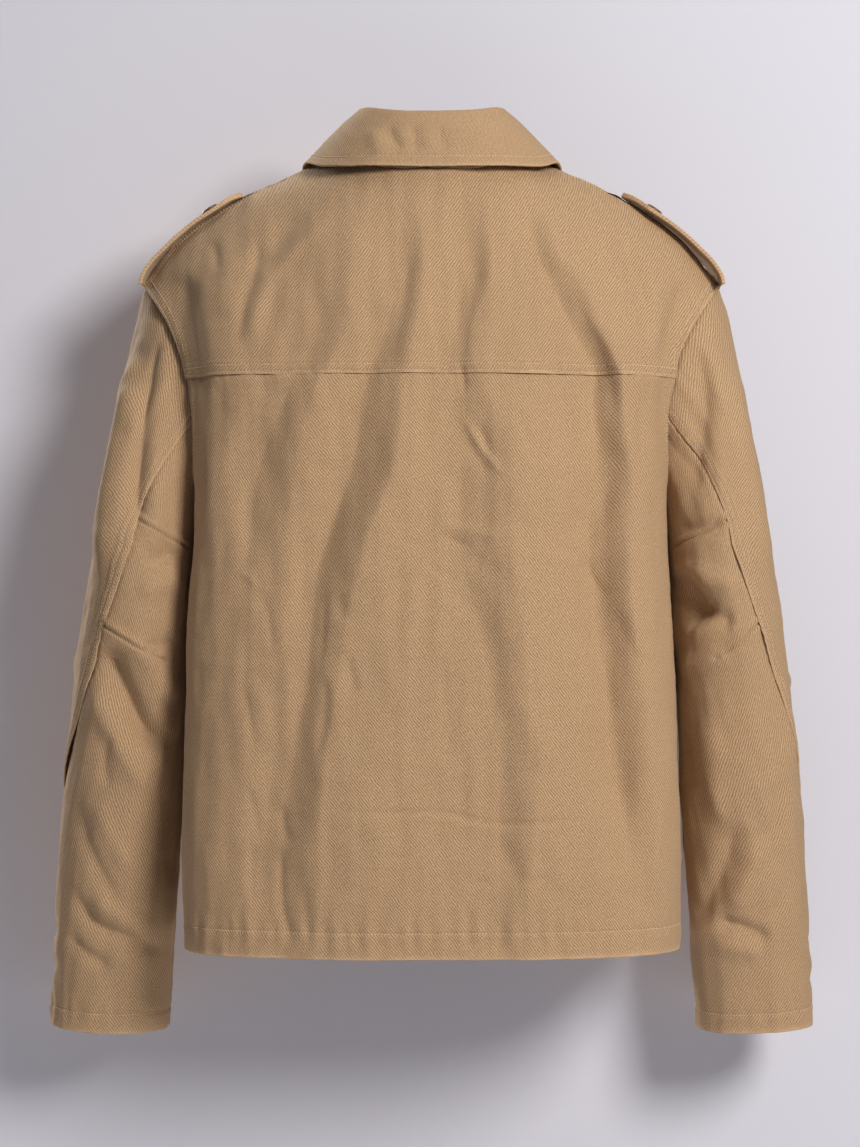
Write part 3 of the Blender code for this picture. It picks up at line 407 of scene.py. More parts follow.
def drape_field(x, z):
    """Height of the back's drapes at x, z (m): smooth from each ridge or hollow to the next.

    The lines wander a little and swell and fade on their way down, as hanging cloth does.
    """
    moved = x
    for size, across, down, seed in WANDER:
        moved = moved + size * noise(x / across, z / down, seed)
    x = moved
    middle, change, across, down, seed = SWELL
    swell = middle + change * noise(x / across, z / down, seed)
    level = (YOKE_Z - z) / np.where(z > YOKE_Z, -YOKE_Z, YOKE_Z - HEM_Z) * 100
    half = curve(BODY["z"], BODY["half"], z)
    lines = [(curve(DRAPE_DOWN, line["across"], level) / 100 * half,
              curve(DRAPE_DOWN, line["high"], level) / 1000) for line in DRAPES]
    total = lines[0][1]
    for (left, left_high), (right, right_high) in zip(lines[:-1], lines[1:]):
        share = np.clip((left - x) / (left - right), 0.0, 1.0)
        eased = share * share * (3 - 2 * share)
        total = total + (right_high - left_high) * (STRAIGHT_SHARE * share + ROUND_SHARE * eased)
    flattened = FLATTER * smooth(np.abs(x) / half, FLAT_FROM, FLAT_TO)
    return total * swell + flattened * smooth(YOKE_Z - z, 0.0, FLAT_BELOW)


def back_place(across, down):
    """The x and z in mm of a place on the back, given in percent as in DRAPES."""
    z = YOKE_Z * (1 + down / 100) if down < 0 else YOKE_Z + (HEM_Z - YOKE_Z) * down / 100
    return across / 100 * curve(BODY["z"], BODY["half"], z)[0] * 1000, z * 1000


# Columns of every crease table: height mm, width mm, skew, sharpness, fade, path.
# The back's paths are places in percent, and the other tables' paths are x and z in mm.
BACK_CREASES = [
    # yoke
    (2.4, 9, 0.3, 2.0, 0.26, [(40, -73), (44, -67), (52, -60), (61, -48), (68, -32), (73, -10)]),
    (-3.0, 9, 0.0, 1.9, 0.28, [(47, -72), (55, -66), (63, -56), (68, -42)]),
    (-3.4, 5.5, 0.0, 1.7, 0.25, [(69, -65), (70, -48), (73, -32), (77, -10)]),
    (-2.2, 3.8, 0.0, 1.7, 0.30, [(89, -64), (86, -55), (84, -45)]),
    (1.6, 7, 0.0, 2.0, 0.30, [(80, -60), (80, -45), (82, -22)]),
    (-2.0, 5, 0.0, 1.8, 0.28, [(8, -58), (11, -34), (14, -14), (18, -4)]),
    (-1.8, 5, 0.0, 1.8, 0.28, [(-18, -56), (-16, -36), (-13, -12), (-11, 0)]),
    (-6.0, 8, 0.2, 1.8, 0.28, [(-76, -66), (-80, -52), (-83, -38), (-86, -22), (-84, -8)]),
    (-11.0, 16, 0.2, 2.0, 0.30, [(-70, 4), (-72, 28), (-73, 50), (-76, 70), (-80, 92)]),
    (2.2, 6, 0.0, 1.9, 0.25, [(-90, -48), (-88, -27), (-87, -5)]),
    (-1.0, 3.2, 0.0, 1.7, 0.35, [(-48, -84), (-62, -78), (-79, -70)]),
    (-1.0, 5, 0.0, 1.8, 0.35, [(-78, -68), (-74, -60), (-70, -52)]),
    (-0.8, 2.6, 0.0, 1.7, 0.35, [(1, -50), (0, -28), (-4, -2)]),
    (-0.9, 3.2, 0.0, 1.7, 0.35, [(-30, -62), (-31, -48), (-30, -34)]),
    (-0.9, 4.5, 0.0, 1.8, 0.35, [(23, -62), (25, -48), (25, -35)]),
    (-5.5, 8, 0.35, 1.8, 0.22, [(-48, -54), (-55, -37), (-62, -20), (-68, -5), (-73, 5), (-74, 10)]),
    (-1.4, 2.3, 0.2, 1.6, 0.35, [(-11, -6), (-12, 0), (-13, 4)]),
    # hollows beside the armholes
    (-7.0, 10, 0.30, 1.8, 0.20, [(101, -50), (97, -34), (93, -15), (92, 4)]),
    (-6.0, 9, -0.30, 1.8, 0.22, [(-104, -48), (-98, -32), (-94, -15), (-92, -3)]),
    # upper part of the panel
    (1.9, 2.8, 0.0, 1.6, 0.25, [(-12, 7), (-17, 11), (-22, 14), (-26, 16), (-31, 18)]),
    (-2.0, 3.4, 0.0, 1.7, 0.35, [(-18, 8), (-22, 12), (-25, 15)]),
    (-1.3, 4.5, 0.0, 1.8, 0.30, [(-13, 10), (-18, 14), (-24, 18)]),
    (-1.4, 4.0, 0.2, 1.7, 0.30, [(-33, 4), (-36, 8), (-40, 12), (-43, 16)]),
    (-1.7, 4.0, 0.0, 1.7, 0.30, [(-83, 5), (-85, 10), (-85, 15)]),
    (-2.6, 6.0, 0.0, 1.8, 0.25, [(-75, 11), (-77, 16), (-74, 22), (-71, 27)]),
    (1.8, 4.6, 0.0, 1.8, 0.25, [(-2, 26), (-16, 27), (-30, 29)]),
    (-2.0, 3.6, 0.3, 1.6, 0.28, [(-5, 28), (-11, 29), (-18, 30)]),
    (-1.6, 6.5, 0.0, 1.8, 0.30, [(-17, 30), (-20, 33), (-30, 33)]),
    (-0.9, 3.0, 0.2, 1.6, 0.35, [(3, 32), (-3, 34), (-11, 35)]),
    (-0.8, 3.2, 0.0, 1.7, 0.35, [(-3, 38), (-16, 39)]),
    (-1.2, 2.4, 0.2, 1.6, 0.35, [(13, 29), (4, 29)]),
    (1.4, 3.0, 0.0, 1.7, 0.35, [(80, 34), (75, 35), (71, 37)]),
    (-1.3, 3.4, 0.0, 1.7, 0.28, [(70, 37), (67, 41), (64, 48)]),
    (-1.9, 5.0, 0.0, 1.8, 0.35, [(39, 37), (37, 40), (36, 43)]),
    (-1.2, 2.8, 0.0, 1.7, 0.30, [(43, 37), (44, 44), (45, 51)]),
    (-1.6, 4.6, 0.2, 1.7, 0.30, [(35, 47), (32, 52), (29, 56)]),
    (-0.9, 3.0, 0.0, 1.7, 0.35, [(-52, 30), (-65, 31)]),
    (-1.2, 3.0, 0.2, 1.6, 0.35, [(-60, 23), (-65, 26)]),
    (-2.4, 4.2, 0.3, 1.7, 0.28, [(-65, 31), (-67, 34), (-71, 37), (-75, 38)]),
    (-1.8, 4.0, 0.0, 1.8, 0.28, [(-75, 39), (-77, 43), (-81, 48), (-82, 52)]),
    # lower part of the panel
    (-2.0, 4.2, 0.2, 1.7, 0.25, [(44, 51), (42, 56), (44, 63), (46, 67)]),
    (-1.2, 3.6, 0.0, 1.8, 0.30, [(-71, 47), (-72, 54), (-74, 60)]),
    (-1.2, 2.8, 0.0, 1.7, 0.30, [(75, 53), (72, 60), (70, 65)]),
    (1.0, 4.0, 0.0, 1.9, 0.30, [(69, 53), (66, 60), (65, 66)]),
    (-1.2, 3.2, 0.0, 1.7, 0.30, [(73, 70), (70, 75), (68, 80)]),
    (-1.2, 3.4, 0.0, 1.7, 0.30, [(70, 80), (71, 86), (70, 92)]),
    (-1.7, 4.0, 0.2, 1.7, 0.30, [(60, 73), (58, 78), (53, 81)]),
    (-2.0, 3.4, 0.2, 1.7, 0.22, [(59, 81), (59, 87), (58, 92), (55, 98)]),
    (-1.1, 3.2, 0.0, 1.7, 0.30, [(50, 86), (49, 92), (48, 98)]),
    (-1.6, 2.8, 0.3, 1.6, 0.22, [(38, 75), (28, 75), (-3, 75), (-14, 76), (-27, 77), (-61, 76)]),
    (1.2, 3.8, 0.0, 1.8, 0.25, [(14, 76), (-3, 76), (-27, 78), (-42, 78)]),
    (-0.7, 3.4, 0.0, 1.7, 0.35, [(22, 82), (8, 83)]),
    (-1.1, 3.2, 0.2, 1.7, 0.35, [(-14, 88), (-22, 86)]),
    (-1.4, 3.0, 0.2, 1.6, 0.35, [(-34, 87), (-48, 86)]),
    (-1.6, 6.0, 0.0, 1.8, 0.30, [(-27, 79), (-30, 83), (-35, 88)]),
    (-0.9, 3.2, 0.0, 1.7, 0.35, [(-42, 78), (-42, 85)]),
    (-1.0, 5.0, 0.0, 1.8, 0.35, [(-46, 87), (-52, 91)]),
    (-0.9, 4.0, 0.0, 1.8, 0.35, [(-66, 84), (-79, 84)]),
    (-1.0, 4.6, 0.0, 1.8, 0.35, [(-75, 89), (-87, 92)]),
    # ripples down into the hem
    (-1.3, 3.4, 0.0, 1.7, 0.28, [(-14, 90), (-14, 99)]),
    (-1.1, 4.0, 0.0, 1.7, 0.30, [(-25, 93), (-27, 99)]),
    (-0.9, 3.2, 0.0, 1.8, 0.35, [(32, 90), (30, 99)]),
    (-0.9, 3.2, 0.0, 1.8, 0.35, [(83, 92), (82, 99)]),
]

# Down the fronts, the same way. Seen from the front, x to the right.
FRONT_CREASES = [
    (-4.4, 20, 0.0, 2.0, 0.22, [(52, -120), (66, -240), (84, -380), (100, -520), (108, -620)]),
    (3.6, 20, 0.0, 2.0, 0.22, [(88, -110), (102, -240), (122, -380), (134, -540)]),
    (2.6, 16, 0.0, 2.0, 0.22, [(26, -170), (34, -300), (50, -440), (62, -590)]),
    (-4.6, 20, 0.0, 2.0, 0.20, [(-60, -130), (-78, -250), (-96, -400), (-116, -560), (-120, -620)]),
    (3.8, 18, 0.0, 2.0, 0.22, [(-96, -120), (-118, -260), (-136, -400), (-146, -560)]),
    (2.2, 15, 0.0, 2.0, 0.24, [(-30, -160), (-42, -300), (-56, -440), (-70, -590)]),
    (-4.6, 13, 0.2, 1.8, 0.22, [(152, -66), (144, -130), (132, -210), (130, -320)]),
    (3.2, 12, 0.0, 2.0, 0.25, [(176, -96), (166, -150), (158, -230), (160, -320)]),
    (-4.6, 14, -0.2, 1.8, 0.22, [(-150, -76), (-146, -140), (-138, -220), (-132, -300)]),
    (3.0, 12, 0.0, 2.0, 0.25, [(-176, -96), (-168, -150), (-162, -230), (-164, -310)]),
    (-3.6, 10, 0.3, 1.8, 0.25, [(204, -90), (192, -130), (184, -180), (182, -214)]),
    (-3.6, 10, -0.3, 1.8, 0.25, [(-204, -92), (-193, -130), (-185, -176), (-183, -206)]),
    (-2.0, 9, 0.0, 1.8, 0.30, [(112, -44), (104, -90), (110, -150)]),
    (-1.8, 8, 0.0, 1.8, 0.30, [(-108, -50), (-100, -96), (-108, -150)]),
    (-1.6, 5, 0.3, 1.6, 0.30, [(40, -236), (58, -262), (66, -300)]),
    (-1.5, 4.6, -0.3, 1.6, 0.30, [(-24, -330), (-44, -352), (-58, -384)]),
    (-1.3, 4.5, 0.0, 1.6, 0.30, [(12, -520), (50, -530), (96, -522)]),
    (-1.2, 4.5, 0.0, 1.6, 0.30, [(-16, -488), (-56, -500), (-104, -494)]),
    (-1.1, 4.2, 0.0, 1.7, 0.30, [(-12, -560), (-44, -568), (-90, -560)]),
    (-1.2, 4.4, 0.2, 1.6, 0.30, [(118, -560), (114, -596), (112, -640)]),
    (-1.2, 4.4, 0.0, 1.6, 0.30, [(146, -330), (150, -370), (144, -420)]),
    (-1.2, 4.6, 0.0, 1.6, 0.30, [(-150, -360), (-146, -400), (-154, -450)]),
    (-1.0, 4.4, 0.0, 1.7, 0.30, [(14, -128), (26, -150), (32, -182)]),
    (-1.1, 4.4, 0.0, 1.7, 0.30, [(-14, -140), (-24, -166), (-28, -196)]),
]
# Sleeves seen from behind.
LEFT_BACK_CREASES = [
    (6.5, 14, 0.0, 2.0, 0.22, [(252, -150), (261, -220), (264, -290), (266, -352)]),
    (-7.0, 11, 0.2, 1.8, 0.22, [(225, -130), (235, -200), (238, -260), (239, -316)]),
    (2.4, 8, 0.0, 2.0, 0.30, [(240, -150), (246, -196), (240, -238)]),
    (-2.4, 6, 0.0, 1.8, 0.30, [(248, -146), (243, -166), (246, -196)]),
    (-10.0, 10, 0.2, 1.8, 0.18, [(266, -396), (250, -432), (233, -464), (213, -486)]),
    (3.6, 10, 0.0, 2.0, 0.22, [(246, -388), (226, -420), (210, -446)]),
    (3.0, 9, 0.0, 2.0, 0.25, [(282, -420), (264, -462), (244, -500), (228, -530)]),
    (-2.6, 7, 0.2, 1.8, 0.28, [(292, -520), (284, -560), (266, -600), (258, -616)]),
    (2.2, 8, 0.0, 2.0, 0.28, [(276, -520), (262, -560), (244, -590)]),
    (-4.2, 6.5, 0.2, 1.7, 0.25, [(300, -598), (280, -628), (250, -642), (222, -655)]),
    (2.0, 7, 0.0, 2.0, 0.28, [(284, -604), (260, -622), (232, -634)]),
    (-3.0, 5.5, 0.0, 1.7, 0.28, [(306, -638), (288, -655), (264, -668)]),
    (-2.2, 7, 0.0, 1.8, 0.28, [(206, -520), (214, -560), (220, -600)]),
    (-2.0, 6, 0.0, 1.8, 0.30, [(262, -466), (268, -492), (264, -520)]),
    (-2.4, 7, 0.3, 1.8, 0.28, [(204, -318), (216, -326), (236, -330)]),
    (2.0, 8, 0.0, 2.0, 0.28, [(200, -340), (216, -346), (240, -356)]),
    (-2.2, 6, 0.3, 1.8, 0.28, [(206, -392), (222, -398), (238, -400)]),
]
RIGHT_BACK_CREASES = [
    (3.6, 12, 0.0, 2.0, 0.22, [(-246, -150), (-258, -220), (-268, -290), (-276, -352)]),
    (-4.0, 10, 0.2, 1.8, 0.25, [(-214, -140), (-222, -190), (-214, -250), (-206, -284)]),
    (-13.0, 15, 0.0, 2.0, 0.25, [(-186, -344), (-204, -362), (-218, -384)]),
    (-3.6, 8, 0.0, 1.8, 0.25, [(-212, -372), (-228, -374), (-246, -380)]),
    (3.0, 9, 0.0, 2.0, 0.25, [(-192, -414), (-214, -414), (-240, -402)]),
    (2.6, 9, 0.0, 2.0, 0.25, [(-196, -330), (-220, -342), (-250, -350)]),
    (-2.6, 7, 0.2, 1.8, 0.25, [(-196, -300), (-216, -302), (-238, -296)]),
    (-3.4, 9, 0.2, 1.8, 0.22, [(-196, -440), (-206, -480), (-212, -530)]),
    (3.0, 9, 0.0, 2.0, 0.25, [(-222, -450), (-232, -500), (-236, -550)]),
    (-4.2, 9, -0.2, 1.8, 0.22, [(-252, -540), (-240, -580), (-226, -616), (-220, -640)]),
    (2.6, 9, 0.0, 2.0, 0.25, [(-268, -560), (-258, -596), (-246, -620)]),
    (-4.2, 7, 0.2, 1.7, 0.25, [(-232, -626), (-256, -632), (-284, -644)]),
    (2.2, 7, 0.0, 2.0, 0.28, [(-232, -648), (-256, -650), (-276, -656)]),
    (-1.8, 6, 0.0, 1.7, 0.30, [(-288, -500), (-284, -540), (-274, -570)]),
    (-1.6, 5, 0.0, 1.7, 0.30, [(-296, -590), (-286, -616), (-272, -628)]),
    (2.0, 8, 0.0, 2.0, 0.28, [(-284, -410), (-292, -460), (-296, -520)]),
]
# Sleeves seen from the front, wearer's left written, mirrored with small shifts on the right.
SLEEVE_FRONT_CREASES = [
    (-4.0, 11, 0.0, 1.8, 0.25, [(216, -130), (224, -190), (214, -262), (206, -300)]),
    (3.4, 12, 0.0, 2.0, 0.25, [(246, -150), (252, -220), (256, -300)]),
    (-4.4, 10, 0.2, 1.8, 0.22, [(276, -330), (254, -356), (228, -374), (206, -380)]),
    (3.4, 10, 0.0, 2.0, 0.25, [(282, -352), (258, -382), (228, -402)]),
    (-4.0, 9, -0.2, 1.8, 0.22, [(288, -396), (262, -414), (232, -420), (208, -412)]),
    (3.0, 9, 0.0, 2.0, 0.25, [(288, -420), (262, -442), (232, -450)]),
    (-3.4, 9, 0.2, 1.8, 0.25, [(292, -440), (270, -470), (240, -492), (216, -500)]),
    (-2.6, 8, 0.0, 1.8, 0.28, [(300, -500), (282, -540), (256, -572)]),
    (-2.6, 7, 0.2, 1.7, 0.28, [(306, -590), (282, -618), (246, -634)]),
    (2.2, 8, 0.0, 2.0, 0.28, [(306, -616), (282, -640), (248, -654)]),
    (-2.0, 6, 0.0, 1.7, 0.28, [(310, -640), (288, -662), (256, -672)]),
]
# Outer side of the sleeves, as (y, z): towards the back is above zero.
SLEEVE_SIDE_CREASES = [
    (2.6, 13, 0.0, 2.0, 0.25, [(-18, -160), (-16, -260), (-22, -360)]),
    (-2.4, 10, 0.0, 1.9, 0.25, [(14, -180), (18, -270), (10, -340)]),
    (-3.0, 9, 0.2, 1.8, 0.28, [(-46, -372), (-22, -392), (8, -388)]),
    (2.4, 9, 0.0, 2.0, 0.28, [(-50, -398), (-20, -414), (10, -410)]),
    (-2.8, 8, 0.0, 1.8, 0.28, [(-54, -430), (-30, -446), (4, -440)]),
    (-2.0, 8, 0.0, 1.8, 0.30, [(-20, -500), (-30, -550), (-20, -600)]),
    (2.0, 9, 0.0, 2.0, 0.30, [(-46, -520), (-50, -580), (-44, -640)]),
    (-2.2, 7, 0.0, 1.8, 0.30, [(-66, -622), (-40, -640), (-10, -632)]),
    (-1.6, 6, 0.0, 1.8, 0.30, [(-62, -664), (-36, -670), (-12, -660)]),
]


# From which tilt of the cloth to which a table's relief grows to its whole height.
FACING = dict(drapes=(0.05, 0.40), creases=(0.0, 0.35), sleeve=(0.05, 0.5), outer=(0.45, 0.85),
              darts=(0.0, 0.3))
SHIFT = np.array([0.004, 0.009])            # of the right sleeve's mirrored creases (m)


def back_relief(points, normal):
    """Drapes and creases of the back, none where it turns into the shoulder and the sides."""
    flat = points[..., [0, 2]].reshape(-1, 2)
    drapes = drape_field(flat[:, 0], flat[:, 1]).reshape(points.shape[:-1])
    creases = [(high * CREASE_DEPTH, wide * CREASE_WIDTH, *edge, [back_place(*at) for at in path])
               for high, wide, *edge, path in BACK_CREASES]
    return (drapes * smooth(normal[..., 1], *FACING["drapes"]) + crease_field(
        points[..., [0, 2]], creases) * smooth(normal[..., 1], *FACING["creases"]))


def front_relief(points, normal):
    creases = crease_field(points[..., [0, 2]], FRONT_CREASES)
    return creases * FRONT_DEPTH * smooth(-normal[..., 1], *FACING["creases"])


def sleeve_relief(points, normal, hand):
    """Creases of one sleeve, each table on the side that faces its way."""
    flat, side = points[..., [0, 2]], points[..., [1, 2]]
    shift = SHIFT * (0 if hand > 0 else 1)
    turned = flat * np.array([hand, 1.0]) + shift
    total = crease_field(flat, LEFT_BACK_CREASES if hand > 0 else RIGHT_BACK_CREASES) * smooth(
        normal[..., 1], *FACING["sleeve"])
    total += crease_field(turned, SLEEVE_FRONT_CREASES) * smooth(
        -normal[..., 1], *FACING["sleeve"])
    total += crease_field(side + shift * 1.5, SLEEVE_SIDE_CREASES) * smooth(
        normal[..., 0] * hand, *FACING["outer"])
    return total * SLEEVE_DEPTH


# ------------------------------------------------------------------ grids and meshes
def normals_of(grid, outward):
    """Unit normals of a grid, on the side of the reference directions."""
    normal = unit(np.cross(np.gradient(grid, axis=0), np.gradient(grid, axis=1)))
    return -normal if np.sum(normal * outward) < 0 else normal


def edge_runs(grid):
    """Distance of every point from the top, bottom, left and right edge along the cloth."""
    down = np.cumsum(np.linalg.norm(np.diff(grid, axis=0, prepend=grid[:1]), axis=2), axis=0)
    across = np.cumsum(np.linalg.norm(np.diff(grid, axis=1, prepend=grid[:, :1]), axis=2), axis=1)
    return dict(top=down, bottom=down[-1:] - down, left=across, right=across[:, -1:] - across)


def area_of(grid):
    cross = np.cross(np.diff(grid, axis=0)[:, :-1], np.diff(grid, axis=1)[:-1])
    return float(np.sum(np.linalg.norm(cross, axis=2)))


def winds_back(grid, normal):
    """True where the grid's faces have to be flipped to look along its normals."""
    r, c = grid.shape[0] // 2, grid.shape[1] // 2
    down, across = grid[r + 1, c] - grid[r, c], grid[r, c + 1] - grid[r, c]
    return bool(np.dot(np.cross(down, across), normal[r, c]) < 0)


def grid_faces(rows, cols, start=0, flip=False):
    index = start + np.arange(rows * cols).reshape(rows, cols)
    a, b = index[:-1, :-1].ravel(), index[1:, :-1].ravel()
    c, d = index[1:, 1:].ravel(), index[:-1, 1:].ravel()
    return np.stack([a, d, c, b] if flip else [a, b, c, d], axis=1)


def ring_faces(rings, corners):
    """Faces of a tube: rings of corners, one after another."""
    faces = []
    for r in range(rings - 1):
        for k in range(corners):
            n = (k + 1) % corners
            faces.append((r * corners + k, r * corners + n,
                          (r + 1) * corners + n, (r + 1) * corners + k))
    return np.array(faces)


def make_mesh(name, points, faces, uv=None, made_of=None, smooth_faces=True):
    """Object from arrays. faces is (n, 4) or (n, 3); uv is per point, in metres of cloth."""
    mesh = bpy.data.meshes.new(name)
    points = np.ascontiguousarray(points, dtype=np.float32)
    faces = np.ascontiguousarray(faces, dtype=np.int32)
    mesh.vertices.add(len(points))
    mesh.vertices.foreach_set("co", points.ravel())
    mesh.loops.add(faces.size)
    mesh.loops.foreach_set("vertex_index", faces.ravel())
    mesh.polygons.add(len(faces))
    mesh.polygons.foreach_set(
        "loop_start", np.arange(0, faces.size, faces.shape[1], dtype=np.int32))
    mesh.update(calc_edges=True)
    if uv is not None:
        layer = mesh.uv_layers.new(name="cloth")
        layer.data.foreach_set("uv", np.asarray(uv, np.float32)[faces.ravel()].ravel())
    mesh.polygons.foreach_set("use_smooth", np.full(len(faces), smooth_faces))
    mesh.validate()
    if made_of is not None:
        mesh.materials.append(made_of)
    piece = bpy.data.objects.new(name, mesh)
    bpy.context.scene.collection.objects.link(piece)
    return piece


def paint(piece, values):
    """Rubbed edges and painted shade at every point, for the material: above zero rubbed pale, below zero
    painted shade beside a lapped seam.
    """
    layer = piece.data.attributes.new("wear_and_shade", "FLOAT", "POINT")
    layer.data.foreach_set("value", np.asarray(values, np.float32).ravel())


def put_on(piece, node=None):
    """Puts a piece in the jacket's body, in place of its node where it has one."""
    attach(piece, "jacket")
    if node:
        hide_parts(node)


# ------------------------------------------------------------------ shells
# How the cloth stands at an edge. over: folded edge lapped on its neighbour, with allowances
# under it for LAP. under: runs on beneath the neighbour's folded edge. plain: turned in.
# free: an open folded edge. hem: turned up, which cloth_shell adds by itself.
LAP = 0.0095
EDGE_RELIEF = dict(
    over=lambda d: 0.00095 * (1 - smooth(d, LAP, LAP + 0.002)) - 0.0004 * (1 - smooth(d, 0, 0.0009)),
    under=lambda d: -0.0011 * (1 - smooth(d, 0.0, 0.0042)),
    plain=lambda d: -0.0008 * (1 - smooth(d, 0.0, 0.0030)),
    free=lambda d: -0.0003 * (1 - smooth(d, 0.0, 0.0008)),
    hem=lambda d: 0.0 * d,
)
# Rolled rows past an edge: distance outwards and inwards (m).
EDGE_ROLL = dict(
    over=[(0.00030, 0.00022), (0.00045, 0.0007), (0.00030, 0.0013), (-0.0020, 0.0017)],
    under=[(0.0012, 0.0002), (0.0025, 0.0003), (0.0038, 0.0004), (0.0050, 0.0006)],
    plain=[(0.00025, 0.0003), (0.00032, 0.0010), (0.00025, 0.0022), (0.0002, 0.0040)],
    free=[(0.00035, 0.0003), (0.0005, 0.0009), (0.0003, 0.0016), (-0.0040, 0.0020)],
)
ROLL_ROWS, ROLL_STEP = 4, 0.0012
HEM_TURN = 0.0009          # radius of the turned hem's lower edge
HEM_LIFT = 0.0007          # of the cloth doubled by the hem
# Sewn lines: depth and half width of the groove, along an edge and at a hem's upper edge (m).
GROOVE, HEM_GROOVE = (0.00060, 0.0011), (0.00075, 0.0012)
# Puckers: reach from the line, height and spacing, beside an edge and beside a hem's line (m).
EDGE_PUCKERS, HEM_PUCKERS, COLLAR_PUCKERS = (0.012, 0.00022, 0.0085), (0.013, 0.0009, 0.014), (
    0.010, 0.00015, 0.0085)
# Crumples all over the cloth: height, and length across and down the piece (m).
CRUMPLES = [(0.00125, 0.044, 0.120), (0.00085, 0.018, 0.036), (0.00050, 0.011, 0.060),
            (0.00036, 0.036, 0.011), (0.00010, 0.006, 0.009)]
# Beside an edge: how dark the painted shade beside a lapped seam is, and the reach of it and of what is
# rubbed (m).
SEAM_PAINTED_SHADE, SEAM_REACH, RUBBED, HEM_RUBBED = 0.9, 0.0015, 0.0012, 0.0018
DEPTH_SHARE = 0.35         # of the way back that counts as length along the warp


def shares(kind, count):
    """An edge's kinds with their share at each of its points: one kind, or a dict of arrays."""
    return kind if isinstance(kind, dict) else {kind: np.ones(count)}


def edge_field(kind, runs, edge):
    """Relief near one edge."""
    along = 1 if edge in ("top", "bottom") else 0
    total = 0.0
    for name, share in shares(kind, runs[edge].shape[along]).items():
        total = total + EDGE_RELIEF[name](runs[edge]) * (share[None, :] if along else share[:, None])
    return total


def puckers(runs, edge, seed, kind=EDGE_PUCKERS):
    """Small gathers beside a stitched edge, fading into the cloth."""
    reach, high, wave = kind
    along = runs["left"] if edge in ("top", "bottom") else runs["top"]
    warp = noise(along / 0.03, runs[edge] / 0.02, seed) * 0.004
    strength = 0.55 + 0.6 * noise(along / 0.055, np.zeros_like(along), seed + 3)
    ripple = np.sin((along + warp) / wave * 2 * math.pi)
    return high * ripple * np.clip(strength, 0, 1.4) * bell(runs[edge], reach)


def turned(edge, arrays, last, back=False):
    """Grids turned so that the edge is their last row, or their first, and back again."""
    reverse = (edge in ("top", "left")) == last
    if edge in ("left", "right") and not back:
        arrays = [a.swapaxes(0, 1) for a in arrays]
    if reverse:
        arrays = [a[::-1] for a in arrays]
    if edge in ("left", "right") and back:
        arrays = [a.swapaxes(0, 1) for a in arrays]
    return arrays


def rolled(grid, normal, uv, wear_and_shade, edge, kind, before):
    """Adds the rolled rows of an edge to a grid, its normals, cloth coordinates and rubbed-edge and
    painted-shade values.
    """
    grid, normal, uv, wear_and_shade = turned(edge, [grid, normal, uv, wear_and_shade], last=True)
    out = unit(grid[-1] - grid[-3])
    step = uv[-1] - uv[-2]
    step = step / np.maximum(np.linalg.norm(step, axis=1, keepdims=True), 1e-9)
    new_rows, new_uv = [], []
    for k in range(ROLL_ROWS):
        away, inside = 0.0, 0.0
        for name, share in shares(kind, grid.shape[1]).items():
            if len(share) < grid.shape[1]:
                share = np.pad(share, (before, grid.shape[1] - len(share) - before), mode="edge")
            away = away + share * EDGE_ROLL[name][k][0]
            inside = inside + share * EDGE_ROLL[name][k][1]
        new_rows.append(grid[-1] + out * away[:, None] - normal[-1] * inside[:, None])
        new_uv.append(uv[-1] + step * ROLL_STEP * (k + 1))
    made = [np.concatenate([grid, np.array(new_rows)])]
    made.append(np.concatenate([normal] + [normal[-1:]] * ROLL_ROWS))
    made.append(np.concatenate([uv, np.array(new_uv)]))
    made.append(np.concatenate([wear_and_shade] + [wear_and_shade[-1:]] * ROLL_ROWS))
    return turned(edge, made, last=True, back=True)


def hem_rows(grid, normal, depth):
    """Rows that carry the cloth round its lower edge and up inside by depth."""
    run = np.cumsum(np.linalg.norm(np.diff(grid[::-1], axis=0, prepend=grid[-1:]), axis=2), axis=0)
    away = unit(grid[-1] - grid[-4])
    rows = []
    for angle in (30, 70, 110, 150, 180):
        a = math.radians(angle)
        rows.append(grid[-1] + away * HEM_TURN * math.sin(a)
                    - normal[-1] * HEM_TURN * (1 - math.cos(a)))
    back, turn = grid[::-1], normal[::-1]
    cols = np.arange(grid.shape[1])
    for level in np.linspace(depth / 6, depth, 6):
        k = np.argmax(run > level, axis=0)
        rows.append(back[k, cols] - turn[k, cols] * HEM_TURN * 2)
    return np.array(rows)


